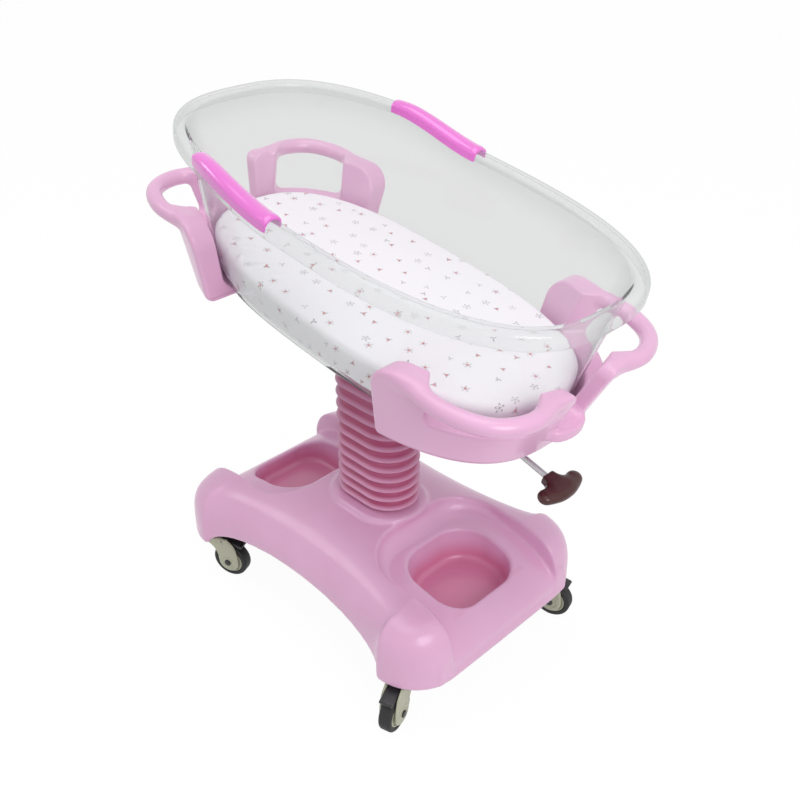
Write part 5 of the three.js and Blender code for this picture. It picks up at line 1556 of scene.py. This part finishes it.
class BASSINET_OT_stage(PieceOperator, bpy.types.Operator):
    """Set the pale floor, the soft light and the camera"""
    bl_idname = "bassinet.stage"
    bl_label = "Stage"

    def execute(self, context):
        stage = context.scene.bassinet_stage
        scene = context.scene
        scene.view_settings.view_transform = "Standard"
        world = bpy.data.worlds.new("studio")
        world.use_nodes = True
        scene.world = world
        tree = world.node_tree
        tree.nodes.clear()
        rays = add(tree, "ShaderNodeLightPath")
        seen = maths(tree, "ADD", rays.outputs["Is Camera Ray"], rays.outputs["Is Glossy Ray"], clamp=True)
        strength = ranged(tree, seen, 0.0, 1.0, stage.world, 1.0)
        light = add(tree, "ShaderNodeBackground", {"Color": (1, 1, 1, 1), "Strength": strength})
        output = add(tree, "ShaderNodeOutputWorld")
        tree.links.new(light.outputs[0], output.inputs["Surface"])

        size = 7.0
        mesh = bpy.data.meshes.new("floor")
        mesh.from_pydata([(-size, -size, 0), (size, -size, 0), (size, size, 0), (-size, size, 0)], [], [(0, 1, 2, 3)])
        floor = bpy.data.objects.new("floor", mesh)
        scene.collection.objects.link(floor)
        material = bpy.data.materials.new("pale_floor")
        material.use_nodes = True
        tree = material.node_tree
        tree.nodes.clear()
        rays = add(tree, "ShaderNodeLightPath")
        seen = maths(tree, "ADD", rays.outputs["Is Camera Ray"], rays.outputs["Is Glossy Ray"], clamp=True)
        through = rays.outputs["Is Transmission Ray"]
        matt = add(tree, "ShaderNodeBsdfDiffuse", {"Color": stage.floor})
        glow = ranged(tree, through, 0.0, 1.0, 1.03, stage.through)
        white = add(tree, "ShaderNodeEmission", {"Color": (1, 1, 1, 1), "Strength": glow})
        part = maths(tree, "MAXIMUM", maths(tree, "MULTIPLY", seen, 0.93), through)
        both = add(tree, "ShaderNodeMixShader", {0: part, 1: matt.outputs[0], 2: white.outputs[0]})
        output = add(tree, "ShaderNodeOutputMaterial")
        tree.links.new(both.outputs[0], output.inputs["Surface"])
        mesh.materials.append(material)

        self.lamp(scene, "key", (2.4, -0.7, 1.9), (0, 0, 0.5), 1.5, stage.key)
        self.lamp(scene, "fill", (-1.8, -1.2, 2.4), (0, 0, 0.5), 0.8, stage.key * 0.2)
        self.lamp(scene, "top", (0.1, -0.3, 3.1), (0, 0, 0.5), 2.4, stage.top)

        camera = bpy.data.objects.new("camera", bpy.data.cameras.new("camera"))
        scene.collection.objects.link(camera)
        camera.data.lens = stage.lens
        camera.data.sensor_width = 36.0
        column = Vector((PIVOT.x, 0, 0))
        camera.location = column + Vector(stage.camera)
        aim = Vector(stage.target) - Vector(stage.camera)
        camera.rotation_euler = aim.to_track_quat("-Z", "Y").to_euler()
        scene.camera = camera
        return {"FINISHED"}

    def lamp(self, scene, name, place, target, size, power):
        light = bpy.data.lights.new(name, "AREA")
        light.shape = "DISK"
        light.size = size
        light.energy = power
        lamp = bpy.data.objects.new(name, light)
        lamp.location = place
        lamp.rotation_euler = (Vector(target) - Vector(place)).to_track_quat("-Z", "Y").to_euler()
        scene.collection.objects.link(lamp)


class BASSINET_PT_panel(bpy.types.Panel):
    bl_idname = "BASSINET_PT_panel"
    bl_label = "Bassinet"
    bl_space_type = "VIEW_3D"
    bl_region_type = "UI"
    bl_category = "Bassinet"

    def draw(self, context):
        for operator in OPERATORS:
            self.layout.operator(operator.bl_idname)
        for name in SETTINGS:
            group = getattr(context.scene, name)
            box = self.layout.box()
            box.label(text=name.replace("bassinet_", "").title())
            for key in group.__annotations__:
                box.prop(group, key)


SETTINGS = {
    "bassinet_tub": BassinetTub,
    "bassinet_grips": BassinetGrips,
    "bassinet_cradles": BassinetCradles,
    "bassinet_base": BassinetBase,
    "bassinet_bellows": BassinetBellows,
    "bassinet_bedding": BassinetBedding,
    "bassinet_casters": BassinetCasters,
    "bassinet_lever": BassinetLever,
    "bassinet_finish": BassinetFinish,
    "bassinet_stage": BassinetStage,
}

OPERATORS = (
    BASSINET_OT_stage,
    BASSINET_OT_base,
    BASSINET_OT_bellows,
    BASSINET_OT_tub,
    BASSINET_OT_grips,
    BASSINET_OT_cradles,
    BASSINET_OT_bedding,
    BASSINET_OT_lever,
    BASSINET_OT_casters,
    BASSINET_OT_metalwork,
)


def register():
    for group in SETTINGS.values():
        bpy.utils.register_class(group)
    for operator in OPERATORS:
        bpy.utils.register_class(operator)
    bpy.utils.register_class(BASSINET_PT_panel)
    for name, group in SETTINGS.items():
        setattr(bpy.types.Scene, name, PointerProperty(type=group))


def unregister():
    for name in SETTINGS:
        delattr(bpy.types.Scene, name)
    bpy.utils.unregister_class(BASSINET_PT_panel)
    for operator in reversed(OPERATORS):
        bpy.utils.unregister_class(operator)
    for group in SETTINGS.values():
        bpy.utils.unregister_class(group)


def main():
    register()
    for operator in OPERATORS:
        family, name = operator.bl_idname.split(".")
        getattr(getattr(bpy.ops, family), name)()


if __name__ == "__main__":
    main()
